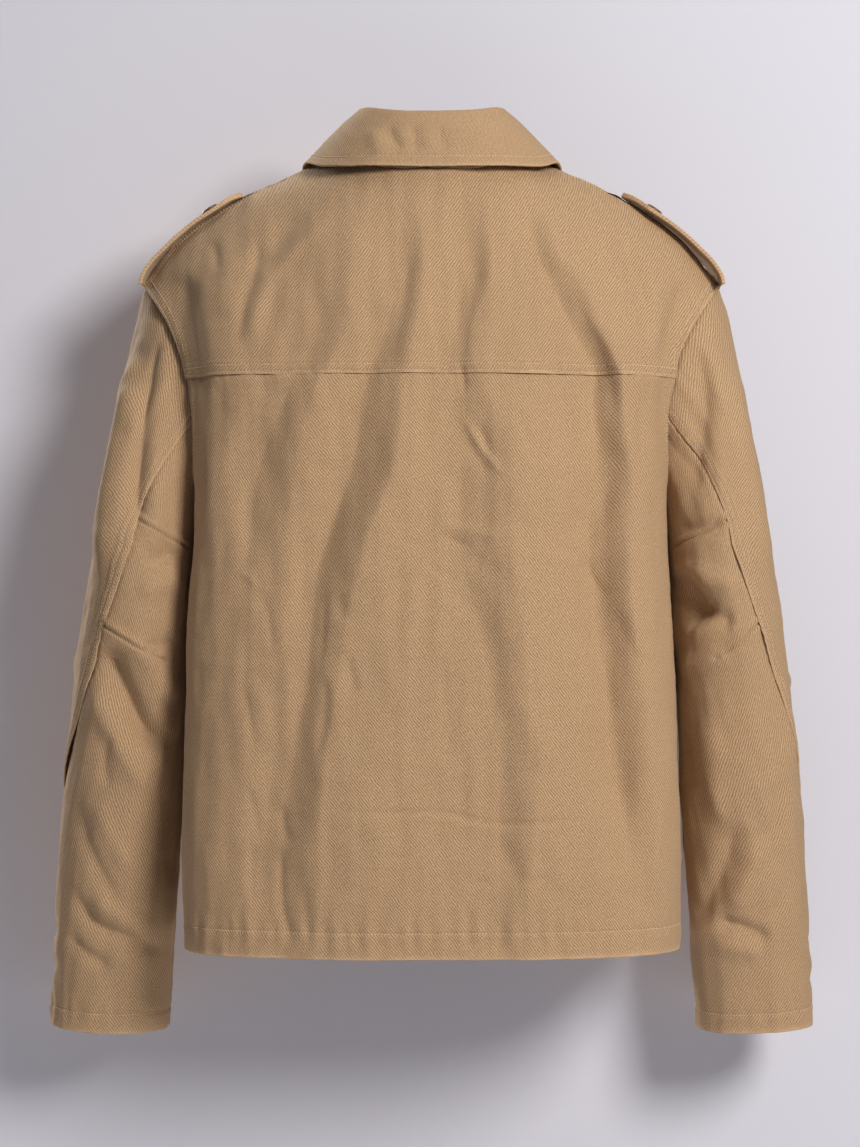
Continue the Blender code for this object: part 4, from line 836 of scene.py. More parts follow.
def cloth_shell(name, grid, outward, edges, relief, seed, hem=0.0, stitched=(),
                straight="middle", lean=0.0):
    """Thin shell of one cut piece. Returns what the stitching needs.

    edges gives the kind of each edge; relief(points, normal) the creases; hem the depth of a
    turned lower edge; stitched the (edge, distance) of each sewn line, which sinks a little;
    straight tells where the warp runs straight down: the piece's middle, its right edge or,
    where the rows fan out from the neck, everywhere (all); lean turns the relief straight
    back, so that a drape near the side does not widen the outline.
    """
    normal, runs = normals_of(grid, outward), edge_runs(grid)
    high = relief(grid, normal)
    middle = grid.shape[1] // 2
    u = dict(middle=runs["left"] - runs["left"][:, middle, None], edge=-runs["right"],
             all=grid[..., 0])[straight]
    v = DEPTH_SHARE * np.abs(grid[..., 1] - grid[-1:, :, 1]) - grid[..., 2]
    wear_and_shade = np.zeros(high.shape)
    for size, across, down in CRUMPLES:
        high = high + size * noise(u / across, v / down, seed + across * 1000)
    for edge, kind in edges.items():
        high = high + edge_field(kind, runs, edge)
        if kind != "plain":
            high = high + puckers(runs, edge, seed + len(edge))
        # Painted shade: cloth that runs under a neighbour's folded edge is darkened beside it, where the
        # lap's shadow falls.
        if kind == "under":
            wear_and_shade = wear_and_shade - SEAM_PAINTED_SHADE * bell(runs[edge], SEAM_REACH)
        elif kind != "plain":
            wear_and_shade = np.maximum(wear_and_shade, np.exp(-runs[edge] / RUBBED))
    for edge, distance in stitched:
        high = high - GROOVE[0] * bell(runs[edge] - distance, GROOVE[1])
    if hem:
        lift = HEM_LIFT * (1 - smooth(runs["bottom"], hem - 0.0006, hem + 0.0008))
        groove = -HEM_GROOVE[0] * bell(runs["bottom"] - hem, HEM_GROOVE[1])
        beside = dict(runs, bottom=np.abs(runs["bottom"] - hem))
        high = high + lift + groove + puckers(beside, "bottom", seed + 9, HEM_PUCKERS)
        wear_and_shade = np.maximum(wear_and_shade, np.exp(-runs["bottom"] / HEM_RUBBED))
    push = unit(normal + smooth(normal[..., 1:2], *FACING["drapes"]) * np.array([0.0, lean, 0.0]))
    laid = grid + push * high[..., None]
    fine = normals_of(laid, outward)
    full, turn, cloth = laid, fine, np.stack([u, v], axis=-1)
    if hem:
        inside = hem_rows(full, turn, hem)
        full = np.concatenate([full, inside])
        turn = np.concatenate([turn, np.repeat(turn[-1:], len(inside), axis=0)])
        step = np.linspace(0.001, hem, len(inside))[:, None, None] * np.array([0.0, 1.0])
        cloth = np.concatenate([cloth, cloth[-1:] + step])
        wear_and_shade = np.concatenate([wear_and_shade, np.repeat(wear_and_shade[-1:] * 0.5, len(inside), axis=0)])
    for edge in ("top", "bottom", "left", "right"):
        if edges[edge] != "hem":
            before = ROLL_ROWS if edge in ("left", "right") else 0
            full, turn, cloth, wear_and_shade = rolled(full, turn, cloth, wear_and_shade, edge, edges[edge], before)
    faces = grid_faces(*full.shape[:2], flip=winds_back(full, turn))
    piece = make_mesh(name, full.reshape(-1, 3), faces, cloth.reshape(-1, 2), TWILL)
    paint(piece, wear_and_shade)
    return dict(piece=piece, grid=laid, normal=fine, runs=runs, cut=edge_runs(laid),
                area=area_of(laid))


# ------------------------------------------------------------------ stitching
def line_beside(shell, edge, distance):
    """Points and normals of the line on a shell at a distance from one edge."""
    run, grid, normal = turned(edge, [shell["runs"][edge], shell["grid"], shell["normal"]],
                               last=False)
    k = np.clip(np.argmax(run > distance, axis=0), 1, len(run) - 1)
    cols = np.arange(run.shape[1])
    share = ((distance - run[k - 1, cols]) / (run[k, cols] - run[k - 1, cols]))[:, None]
    share = np.clip(share, 0, 1)
    points = grid[k - 1, cols] * (1 - share) + grid[k, cols] * share
    return points, unit(normal[k - 1, cols] * (1 - share) + normal[k, cols] * share)


sewn = dict(yoke=[], armholes=[], hem=[], fronts=[], cuffs=[], elbows=[], collar=[], epaulettes=[])


def sew(group, shell, edge, distances, low=0.0, high=1.0):
    """Notes a group's lines beside a shell's edge, each between two shares of its points."""
    for distance in distances:
        points, normal = line_beside(shell, edge, distance)
        a, b = int(low * (len(points) - 1)), int(high * (len(points) - 1)) + 1
        sewn[group].append((points[a:b], normal[a:b]))


# An arched thread: rings along the stitch, as shares of its length, radius and radius. Every
# stitch slants a little, and is moved along and lengthened a little by its own wobble.
STITCH_SIDES, STITCH_SLANT, STITCH_SHIFT, STITCH_CHANGE = 5, 0.09, 0.00012, 0.10
STITCH_RINGS = dict(along=[-0.50, -0.30, 0.30, 0.50], high=[-0.9, 0.40, 0.40, -0.9],
                    wide=[0.55, 1.0, 1.0, 0.55])


def stitches(name, lines, pitch=0.0027, length=0.0018, radius=0.00040, seed=1):
    """One mesh of short arched threads along several lines, in the jacket's body."""
    angle = np.arange(STITCH_SIDES) / STITCH_SIDES * 2 * math.pi
    cos, sin = np.cos(angle)[None, None, :, None], np.sin(angle)[None, None, :, None]
    rings = {k: np.array(v)[None, :, None, None] for k, v in STITCH_RINGS.items()}
    per = len(STITCH_RINGS["along"]) * STITCH_SIDES
    faces = ring_faces(len(STITCH_RINGS["along"]), STITCH_SIDES)
    all_points, all_faces, count = [], [], 0
    for at, (points, normal) in enumerate(lines):
        run = run_of(points)
        total = int(run[-1] / pitch)
        if total < 2:
            continue
        wobble = np.array([math.sin(k * 12.9898 + at * 78.233 + seed) for k in range(total)])
        middle = (np.arange(total) + 0.5) * pitch + wobble * STITCH_SHIFT
        tangent = unit(read_at(points, run, middle + length / 2)
                       - read_at(points, run, middle - length / 2))
        up = unit(read_at(normal, run, middle))
        side = unit(unit(np.cross(tangent, up)) + tangent * STITCH_SLANT)
        centre, tangent, side, up = (v[:, None, None] for v in (
            read_at(points, run, middle), tangent, side, up))
        size = 1 + STITCH_CHANGE * np.roll(wobble, 3)[:, None, None, None]
        wide = rings["wide"] * radius * size
        body = (centre + tangent * (rings["along"] * length * size) + side * cos * wide
                + up * (sin * wide * 0.8 + rings["high"] * radius + radius * 0.1))
        all_points.append(body.reshape(-1, 3))
        all_faces.append((faces[None] + count + np.arange(total)[:, None, None] * per)
                         .reshape(-1, 4))
        count += total * per
    piece = make_mesh(name, np.concatenate(all_points), np.concatenate(all_faces), made_of=THREAD)
    put_on(piece)
    return piece


# ------------------------------------------------------------------ two-ply pieces
# Small crumples of the plies: height and length (m).
PLY_CRUMPLES = [(0.00025, 0.020), (0.00006, 0.006)]
# Across the rim from ply to ply: share of the thickness outwards and inwards.
RIM_PROFILE = [(0.20, 0.14), (0.34, 0.32), (0.34, 0.50), (0.34, 0.68), (0.20, 0.86)]


def two_ply(name, outer, outward, thick, seed, relief=0.0, edge_bulge=0.7, groove=0.0):
    """Closed piece of two plies: an outer grid, the same moved inwards and a rounded rim."""
    runs = edge_runs(outer)
    rows, cols = outer.shape[:2]
    u, v = runs["left"] - runs["left"].mean(), runs["top"]
    high = relief
    for k, (size, length) in enumerate(PLY_CRUMPLES):
        high = high + size * noise(u / length, v / length, seed + k)
    top = outer + normals_of(outer, outward) * high[..., None]
    fine = normals_of(top, outward)
    thick = np.broadcast_to(np.asarray(thick, float), outer.shape[:2])
    under = top - fine * thick[..., None]
    index = np.arange(rows * cols).reshape(rows, cols)
    loop = np.concatenate([index[0, :-1], index[:-1, -1], index[-1, :0:-1], index[:0:-1, 0]])
    spots, turn = top.reshape(-1, 3)[loop], fine.reshape(-1, 3)[loop]
    along = np.roll(spots, 1, axis=0) - np.roll(spots, -1, axis=0)
    away = unit(np.cross(unit(along), turn))
    if np.sum(away * (spots - top[rows // 2, cols // 2])) < 0:
        away = -away
    deep = thick.reshape(-1)[loop][:, None]
    rings = [spots + away * deep * (out - (groove if down == 0.50 else 0)) * edge_bulge
             - turn * deep * down for out, down in RIM_PROFILE]
    points = np.concatenate([top.reshape(-1, 3), under.reshape(-1, 3), *rings])
    size = rows * cols
    loops = [loop] + [2 * size + k * len(loop) + np.arange(len(loop))
                      for k in range(len(rings))] + [loop + size]
    flip = winds_back(top, fine)
    faces = [grid_faces(rows, cols, flip=flip), grid_faces(rows, cols, start=size, flip=not flip)]
    for low, far in zip(loops[:-1], loops[1:]):
        quad = [low, np.roll(low, -1), np.roll(far, -1), far]
        faces.append(np.stack(quad[::-1] if flip else quad, axis=1))
    uv = np.stack([u, v], axis=-1).reshape(-1, 2)
    rim_uv = [uv[loop] + 0.0006 * (k + 1) for k in range(len(rings))]
    piece = make_mesh(name, points, np.concatenate(faces), np.concatenate([uv, uv + 0.37] + rim_uv),
                      TWILL)
    edge = np.minimum(np.minimum(runs["left"], runs["right"]),
                      np.minimum(runs["top"], runs["bottom"]))
    wear_and_shade = np.exp(-edge / RUBBED).reshape(-1)
    paint(piece, np.concatenate([wear_and_shade, wear_and_shade * 0.4, np.tile(wear_and_shade[loop], len(rings))]))
    return dict(piece=piece, grid=top, normal=fine, runs=runs, cut=runs, area=area_of(outer))


# ------------------------------------------------------------------ materials
class Nodes:
    """Node tree of a material or world. An input is a number, a tuple or another's output."""

    def __init__(self, owner):
        owner.use_nodes = True
        self.tree = owner.node_tree

    def feed(self, name, inputs):
        """Sets or links inputs of the node of that name. A colour's alpha is 1."""
        node = self.tree.nodes[name]
        for key, value in inputs.items():
            socket = node.inputs[key]
            if isinstance(value, bpy.types.NodeSocket):
                self.tree.links.new(value, socket)
            elif isinstance(value, tuple):
                socket.default_value = value + (1.0,) * (len(socket.default_value) - len(value))
            else:
                socket.default_value = value
        return node

    def new(self, kind, inputs, out=0, **settings):
        """Output of a new node, or all its outputs where out is None."""
        node = self.tree.nodes.new("ShaderNode" + kind)
        for key, value in settings.items():
            setattr(node, key, value)
        outputs = self.feed(node.name, inputs).outputs
        return outputs if out is None else outputs[out]

    def maths(self, operation, *values):
        return self.new("Math", dict(enumerate(values)), operation=operation)

    def weighted(self, weights, parts, start=0.0):
        """start plus every part times its weight."""
        for name, weight in weights.items():
            start = self.maths("MULTIPLY_ADD", parts[name], weight, start)
        return start

    def grain(self, where, scale, detail, rough=0.5, stretch=None):
        """Noise at a scale, optionally stretched along some axes."""
        if stretch:
            where = self.new("Mapping", {"Vector": where, "Scale": stretch})
        return self.new("TexNoise", {"Vector": where, "Scale": scale, "Detail": detail,
                                     "Roughness": rough}, "Fac")

    def ramp(self, value, *stops):
        node = self.tree.nodes.new("ShaderNodeValToRGB")
        while len(node.color_ramp.elements) < len(stops):
            node.color_ramp.elements.new(0.5)
        for element, (at, colour) in zip(node.color_ramp.elements, stops):
            element.position = at
            element.color = (*colour, 1.0)
        return self.feed(node.name, {0: value}).outputs[0]

    def mix(self, kind, share, a, b):
        return self.new("Mix", {0: share, 6: a, 7: b}, 2, data_type="RGBA", blend_type=kind)

    def bump(self, height, strength, distance, **more):
        return self.new("Bump", {"Height": height, "Strength": strength, "Distance": distance,
                                 **more})


def times(colour, factor):
    return tuple(c * factor for c in colour)


TWILL_PITCH = 0.0019       # between two twill lines
TWILL_ANGLE = math.radians(52.0)        # of the lines, from the weft
# Shares of the weave's parts in its colour and in its relief, and of broad tones in its shade.
TONE = dict(line=0.27, yarn=0.25, slub=0.06, streak=0.42)
WEAVE = dict(line=0.50, beads=0.20, yarn=0.22, streak=0.30, slub=0.12)
SHADE = dict(broad=0.11, patch=0.03)


def twill_material(name, light, dark):
    """Cotton twill: diagonal lines, yarn slubs, softly rubbed edges and painted shade beside lapped seams,
    from the cloth's own coordinates.
    """
    made = bpy.data.materials.new(name)
    nodes = Nodes(made)
    maths, grain = nodes.maths, nodes.grain
    where = nodes.new("UVMap", {}, uv_map="cloth")
    apart = nodes.new("SeparateXYZ", {0: where}, None)
    place = dict(u=apart[0], v=apart[1])
    cos, sin = math.cos(TWILL_ANGLE), math.sin(TWILL_ANGLE)
    bend = maths("MULTIPLY", maths("SUBTRACT", grain(where, 160.0, 2.0), 0.5), 0.0024)
    off = nodes.weighted(dict(u=-sin, v=cos), place, bend)
    along = nodes.weighted(dict(u=cos, v=sin), place)
    diagonal = nodes.new("CombineXYZ", {0: off, 1: maths("MULTIPLY", along, 0.5)})

    def wave(value, pitch):
        turns = maths("MULTIPLY", value, 2 * math.pi / pitch)
        return maths("MULTIPLY_ADD", maths("SINE", turns), 0.5, 0.5)

    parts = dict(line=wave(off, TWILL_PITCH), beads=wave(along, TWILL_PITCH * 0.8),
                 yarn=grain(where, 900.0, 3.0, 0.6), streak=grain(diagonal, 900.0, 2.0, 0.55),
                 slub=grain(where, 260.0, 4.0, 0.62, (2.2, 0.45, 1.0)),
                 broad=grain(where, 13.0, 5.0, 0.55), patch=grain(where, 46.0, 4.0, 0.6))
    colour = nodes.ramp(nodes.weighted(TONE, parts), (0.38, dark), (0.62, light))
    shade = nodes.weighted(SHADE, parts, 0.93)
    grey = nodes.new("CombineColor", {0: shade, 1: shade, 2: shade})
    colour = nodes.mix("MULTIPLY", 1.0, colour, grey)
    wear_and_shade = nodes.new("Attribute", {}, "Fac", attribute_name="wear_and_shade")
    rubbed = maths("MULTIPLY", wear_and_shade, maths("MULTIPLY_ADD", parts["patch"], 1.2, -0.25))
    rubbed = maths("MINIMUM", maths("MAXIMUM", rubbed, 0.0), 0.35)
    colour = nodes.mix("MIX", rubbed, colour, tuple(min(1.0, c * 1.35 + 0.03) for c in light))
    # Painted shade beside lapped seams: below zero the attribute pulls the colour towards a dark brown.
    painted_seam_shade = maths("MAXIMUM", maths("MULTIPLY", wear_and_shade, -0.75), 0.0)
    colour = nodes.mix("MIX", painted_seam_shade, colour, times(dark, 0.25))
    fleck = maths("MULTIPLY", maths("GREATER_THAN", grain(where, 520.0, 1.0), 0.765), 0.35)
    colour = nodes.mix("MIX", fleck, colour, times(dark, 0.45))
    soft = nodes.bump(grain(where, 62.0, 3.0), 0.5, 0.0006)
    relief = nodes.bump(nodes.weighted(WEAVE, parts), 0.55, 0.00028, Normal=soft)
    nodes.feed("Principled BSDF", {
        "Base Color": colour, "Roughness": maths("MULTIPLY_ADD", parts["slub"], 0.12, 0.80),
        "Normal": relief, "Specular IOR Level": 0.22, "Sheen Weight": 0.16,
        "Sheen Roughness": 0.5, "Sheen Tint": (0.85, 0.72, 0.55)})
    return made


def noise_material(name, stops, scale, rough, bump=0.0, stretch=None, rough_spread=0.1, **more):
    """Material whose colour, roughness and relief vary with noise in the object's own space.

    more holds further inputs of its shader.
    """
    made = bpy.data.materials.new(name)
    nodes = Nodes(made)
    place = nodes.new("TexCoord", {}, "Object")
    value = nodes.grain(place, scale, 4.0, 0.6, stretch)
    if bump:
        more["Normal"] = nodes.bump(nodes.grain(place, scale * 3, 3.0), 0.5, bump)
    nodes.feed("Principled BSDF", {
        "Base Color": nodes.ramp(value, *stops), **more,
        "Roughness": nodes.maths("MULTIPLY_ADD", value, rough_spread, rough - rough_spread / 2)})
    return made


TWILL = twill_material("cotton_twill", light=(0.520, 0.335, 0.186), dark=(0.285, 0.175, 0.092))
THREAD = noise_material("sewing_thread", [(0.3, (0.50, 0.34, 0.19)), (0.7, (0.66, 0.47, 0.29))],
                        1800.0, 0.7, bump=0.0001, **{"Sheen Weight": 0.15})
TAPE = noise_material("zip_tape", [(0.35, (0.33, 0.22, 0.12)), (0.65, (0.44, 0.30, 0.17))],
                      1500.0, 0.85, bump=0.00015, stretch=(1.0, 1.0, 0.35))
HORN = noise_material("button_horn", [(0.30, (0.055, 0.028, 0.014)), (0.52, (0.13, 0.065, 0.030)),
                                      (0.75, (0.26, 0.15, 0.075))],
                      160.0, 0.32, bump=0.00003, stretch=(1.0, 3.0, 1.0))
METAL = noise_material("zip_metal", [(0.3, (0.42, 0.34, 0.20)), (0.7, (0.66, 0.56, 0.37))],
                       420.0, 0.34, bump=0.00003, rough_spread=0.22, Metallic=1.0)


# ------------------------------------------------------------------ the shells
QUALITY = 0.96


def n(count):
    return int(count * QUALITY)


def rows_of(lengths, keys, count, dense):
    """Row numbers for even steps along the cloth, closer where dense says (m)."""
    return np.interp(spread(0.0, lengths[-1], n(count), dense), lengths, keys)


# Lengths of the body's and sleeve's cloth from its top to some rows (m).
BODY_KEYS, BODY_LENGTHS = [0, 5, 9, 19, 20], [0.0, 0.190, 0.306, 0.631, 0.653]
SLEEVE_KEYS = [0, 1, 2, 3, 4, 5, 6, 7]
SLEEVE_LENGTHS = [0.0, 0.120, 0.186, 0.258, 0.360, 0.460, 0.513, 0.530]
# Distances of the sewn lines from their edges (m).
YOKE_SEWN, ARM_SEWN = [0.0018, 0.0074], [0.0018, 0.0080]
ELBOW_SEWN, FRONT_SEWN = [0.0016, 0.0068], [0.0062, 0.0016]
COLLAR_SEWN, STRAP_SEWN = 0.0084, 0.0055
HEM_DEPTH, CUFF_DEPTH = 0.0200, 0.0155
SIDES = (("left", 1), ("right", -1))


def outwards(points):
    """Rough outward directions of the body's surface."""
    away = points * np.array([1.0, 1.0, 0.0])
    away[..., 2] = np.where(points[..., 2] > -0.12, 0.08, 0.0)
    return away


EASE_ROUNDS = int(70 * QUALITY ** 2)


def eased(grid):
    """The yoke's grid with the fold line below the neck's corner smoothed, its edges kept."""
    down = np.linspace(0, 1, grid.shape[0])[:, None, None]
    across = np.linspace(0, 1, grid.shape[1])[None, :, None]
    share = smooth(down, 0.0, 0.08) * smooth(1 - down, 0.15, 0.5)
    share = share * smooth(across * (1 - across), 0.02, 0.10)
    grid = grid.copy()
    for _ in range(EASE_ROUNDS):
        between = (grid[:, :-2] + grid[:, 2:]) / 2
        grid[:, 1:-1] += 0.5 * share[:, 1:-1] * (between - grid[:, 1:-1])
    return grid


def for_hand(grid, hand):
    return mirrored(grid) if hand < 0 else grid


def sewn_to(rows):
    """Share of 1 for rows beside the armhole, and 0 below it."""
    return (rows <= ARM_ROWS + 0.02).astype(float)


back_cols = spread(0, BACK_COLS, n(290), [(0, 0.35, 2.0), (BACK_COLS, 0.35, 2.0)])
yoke_rows = rows_of([0, 0.19], [0, 5], 128, [(0.188, 0.006, 2.2), (0.0, 0.004, 2.0)])
panel_rows = rows_of([0, 0.116, 0.441, 0.463], [5, 9, 19, 20], 268,
                     [(0.0, 0.006, 2.2), (0.442, 0.006, 2.0), (0.463, 0.004, 2.0)])
yoke_grid = eased(body_surface("back", back_cols, yoke_rows))
yoke = cloth_shell(
    "shell_back_yoke", yoke_grid, outwards(yoke_grid),
    dict(top="plain", bottom="over", left="over", right="over"), back_relief, 11,
    straight="all", lean=1.5, stitched=[("bottom", d) for d in YOKE_SEWN]
    + [(e, d) for e, _ in SIDES for d in ARM_SEWN])
panel_grid = body_surface("back", back_cols, panel_rows)
by_arm = sewn_to(panel_rows)
side_kinds = dict(over=by_arm, plain=1 - by_arm)
panel = cloth_shell(
    "shell_back_panel", panel_grid, outwards(panel_grid),
    dict(top="under", bottom="hem", left=side_kinds, right=side_kinds), back_relief, 23,
    hem=HEM_DEPTH, lean=1.5)
sew("yoke", yoke, "bottom", YOKE_SEWN)
for distance in ARM_SEWN:
    for edge, _ in SIDES:
        sew("armholes", yoke, edge, [distance])
        sew("armholes", panel, edge, [distance], 0.0, float(by_arm.mean()) * 0.96)
for low, high in ((0.0, 0.165), (0.835, 1.0)):
    sew("yoke", yoke, "top", YOKE_SEWN, low, high)
sew("hem", panel, "bottom", [HEM_DEPTH])

front_rows = rows_of(BODY_LENGTHS, BODY_KEYS, 330,
                     [(0.0, 0.004, 2.0), (0.632, 0.006, 1.8), (0.653, 0.004, 2.0)])
front_cols = spread(0, FRONT_COLS, n(136), [(0, 0.35, 2.0), (FRONT_COLS, 0.2, 2.5)])
by_arm = sewn_to(front_rows)
shoulder = (front_cols <= RIDGE_COLS).astype(float)
fronts = {}
for name, hand in SIDES:
    front_grid = for_hand(body_surface("front", front_cols, front_rows), hand)
    front = fronts[name] = cloth_shell(
        f"shell_front_{name}", front_grid, outwards(front_grid),
        dict(top=dict(under=shoulder, plain=1 - shoulder), bottom="hem",
             left=dict(over=by_arm, plain=1 - by_arm), right="free"),
        front_relief, 37 + hand, hem=HEM_DEPTH, straight="edge",
        stitched=[("right", d) for d in FRONT_SEWN])
    sew("fronts", front, "right", FRONT_SEWN, 0.01)
    sew("hem", front, "bottom", [HEM_DEPTH])
    sew("armholes", front, "left", ARM_SEWN, 0.0, float(by_arm.mean()) * 0.98)

upper_rows = rows_of(SLEEVE_LENGTHS, SLEEVE_KEYS, 300,
                     [(0.0, 0.004, 2.0), (0.515, 0.004, 1.8), (0.530, 0.003, 2.0)])
under_rows = rows_of(SLEEVE_LENGTHS, SLEEVE_KEYS, 330,
                     [(0.0, 0.004, 2.0), (0.112, 0.016, 2.2), (0.212, 0.020, 2.2),
                      (0.515, 0.004, 1.8), (0.530, 0.003, 2.0)])
SLEEVE_END = ARM_POINTS + ELBOW_POINT
upper_cols = spread(ARM_ROWS, SLEEVE_END, n(140), [(SLEEVE_END, 0.3, 2.2)])
under_cols = spread(ELBOW_POINT, ARM_ROWS, n(84), [(ELBOW_POINT, 0.1, 1.8)])
# Elbow darts: folded cloth that ends in the elbow seam, in the under piece.
DARTS = {
    1: [(-2.4, 1.6, -0.5, 1.4, 0.08, [(247, -291), (222, -305), (198, -319)]),
        (1.8, 6.0, 0.7, 1.8, 0.12, [(247, -286), (222, -300), (198, -315)]),
        (-2.6, 1.6, -0.5, 1.4, 0.08, [(272, -378), (242, -397), (215, -412)]),
        (2.2, 6.0, 0.7, 1.8, 0.12, [(272, -373), (242, -392), (215, -408)])],
    -1: [(-2.4, 1.6, 0.5, 1.4, 0.08, [(-253, -288), (-221, -305), (-196, -318)]),
         (1.8, 6.0, -0.7, 1.8, 0.12, [(-253, -283), (-221, -300), (-196, -314)]),
         (-2.6, 1.6, 0.5, 1.4, 0.08, [(-273, -374), (-249, -395), (-228, -410)]),
         (2.2, 6.0, -0.7, 1.8, 0.12, [(-273, -369), (-249, -390), (-228, -406)])],
}
SLEEVE_EDGES = dict(upper=dict(top="under", bottom="hem", left="plain", right="over"),
                    under=dict(top="under", bottom="hem", left="under", right="plain"))
sleeves = {}
for name, hand in SIDES:
    for part, cols, rows in (("upper", upper_cols, upper_rows), ("under", under_cols, under_rows)):
        grid = for_hand(sleeve_surface(part, cols, rows), hand)
        middle = np.mean(sleeve_surface("upper", upper_cols[::8], rows), axis=1)[:, None]
        middle = middle * np.array([hand, 1, 1])

        def relief(points, normal, hand=hand, part=part):
            total = sleeve_relief(points, normal, hand)
            if part == "under":
                total = total + crease_field(points[..., [0, 2]], DARTS[hand]) * smooth(
                    normal[..., 1], *FACING["darts"])
            return total

        sleeves[part, name] = cloth_shell(
            f"shell_sleeve_{part}_{name}", grid, grid - middle, SLEEVE_EDGES[part], relief,
            51 + 7 * hand + len(part), hem=CUFF_DEPTH,
            stitched=[("right", d) for d in ELBOW_SEWN] if part == "upper" else [])
        sew("cuffs", sleeves[part, name], "bottom", [CUFF_DEPTH])
    sew("elbows", sleeves["upper", name], "right", ELBOW_SEWN, 0.02)

# ------------------------------------------------------------------ collar
UP = np.array([0.0, 0.0, 1.0])
FALL_THICK, STAND_THICK = 0.0019, 0.0017
# Fall across the fold: distance outwards and upwards from the fold's line, then, past the
# fold, its share of the way to the edge, outwards and upwards.
ROLL_PATH = [(-0.0064, -0.0080), (-0.0064, -0.0042), (-0.0058, -0.0016), (-0.0040, -0.0002),
             (-0.0018, -0.0002), (-0.0004, -0.0014)]
FALL_PATH = [(0.16, 0.0012, 0.0004), (0.34, 0.0015, 0.0010), (0.52, 0.0014, 0.0010),
             (0.76, 0.0008, 0.0005), (1.0, 0.0, 0.0)]
COLLAR_CREASES = [
    (-2.4, 5.0, 0.0, 1.8, 0.30, [(38, 26), (31, 12), (24, 0)]),
    (-1.3, 5.0, 0.0, 1.8, 0.30, [(-4, 24), (-8, 10), (-12, -2)]),
    (1.6, 6.0, 0.0, 2.0, 0.30, [(50, 26), (45, 8), (38, -4)]),
    (-0.7, 5.0, 0.0, 1.8, 0.30, [(-50, 26), (-58, 10), (-62, -2)]),
    (-2.0, 6.0, 0.0, 1.9, 0.28, [(16, 26), (14, 12), (10, -2)]),
]


def collar_lines():
    """The collar's seam, fold and edge round the neck, and the ways out from its fold."""
    stations = spread(-LAST_STATION, LAST_STATION, n(330),
                      [(-LAST_STATION, 0.06, 2.0), (LAST_STATION, 0.06, 2.0)])
    near = np.abs(stations)
    side = np.where(stations < 0, -1.0, 1.0)[:, None] * np.array([1.0, 0, 0]) + np.array([0, 1.0, 1.0])
    seam, fold, edge = (neck_line(name, near) for name in ("seam", "fold", "edge"))
    along = neck_line("fold", np.clip(near - 0.02, -1, LAST_STATION)) - neck_line(
        "fold", np.clip(near + 0.02, -1, LAST_STATION))
    out = unit(np.stack([-along[:, 1], along[:, 0], np.zeros(len(along))], axis=1))
    out = np.where((np.sum(out * fold, axis=1) < 0)[:, None], -out, out)
    return seam * side, fold * side, edge * side, out * side


seam, fold, edge, out = collar_lines()
crest = fold + out * -0.0012 + UP * -0.0002
path = [fold + out * away + UP * rise for away, rise in ROLL_PATH]
path += [crest * (1 - share) + edge * share + out * away + UP * rise
         for share, away, rise in FALL_PATH]
path = np.array(path)
keys = np.concatenate([[0], np.cumsum(np.linalg.norm(np.diff(path, axis=0), axis=2).mean(axis=1))])
fall_grid = curve(keys, path, spread(0, keys[-1], n(52), [(0.006, 0.005, 2.0), (keys[-1], 0.003, 2.0)]))
fall_out = np.broadcast_to(out, fall_grid.shape)
fall_runs = edge_runs(fall_grid)
fall_high = crease_field(fall_grid[..., [0, 2]], COLLAR_CREASES) * smooth(
    normals_of(fall_grid, fall_out)[..., 1], 0.1, 0.5)
rim = np.minimum(fall_runs["bottom"], np.minimum(fall_runs["left"], fall_runs["right"]))
fall_high = fall_high - 0.00025 * bell(rim - COLLAR_SEWN, 0.0012)
fall_high = fall_high + 0.00035 * bell(rim, 0.006)
fall_high = fall_high + puckers(fall_runs, "bottom", 5, COLLAR_PUCKERS)
fall = two_ply("shell_collar_fall", fall_grid, fall_out, FALL_THICK, 71, relief=fall_high,
               groove=0.10)
sew("collar", fall, "bottom", [COLLAR_SEWN], 0.015, 0.985)
for name, column in (("left", 0), ("right", -1)):
    points, normal = line_beside(fall, name, COLLAR_SEWN)
    ends = fall["runs"]["bottom"][:, column]
    keep = (ends > COLLAR_SEWN) & (ends < ends.max() - 0.014)
    sewn["collar"].append((points[keep], normal[keep]))

stand_top = fold + out * -0.0046 + UP * -0.00545
foot = seam + UP * 0.00015
waist = foot * 0.5 + stand_top * 0.5 - out * 0.0010
t = np.linspace(0, 1, n(16))[:, None, None]
stand_grid = ((1 - t) * (1 - 2 * t) * foot + 4 * t * (1 - t) * waist
              + t * (2 * t - 1) * stand_top)[::-1]
stand = two_ply("shell_collar_stand", stand_grid, np.broadcast_to(out, stand_grid.shape),
                STAND_THICK, 75)


# ------------------------------------------------------------------ epaulettes and buttons
def strap_at(name, rows):
    """A column of EPAULETTE, read at rows."""
    return curve(np.arange(9), EPAULETTE[name], rows)


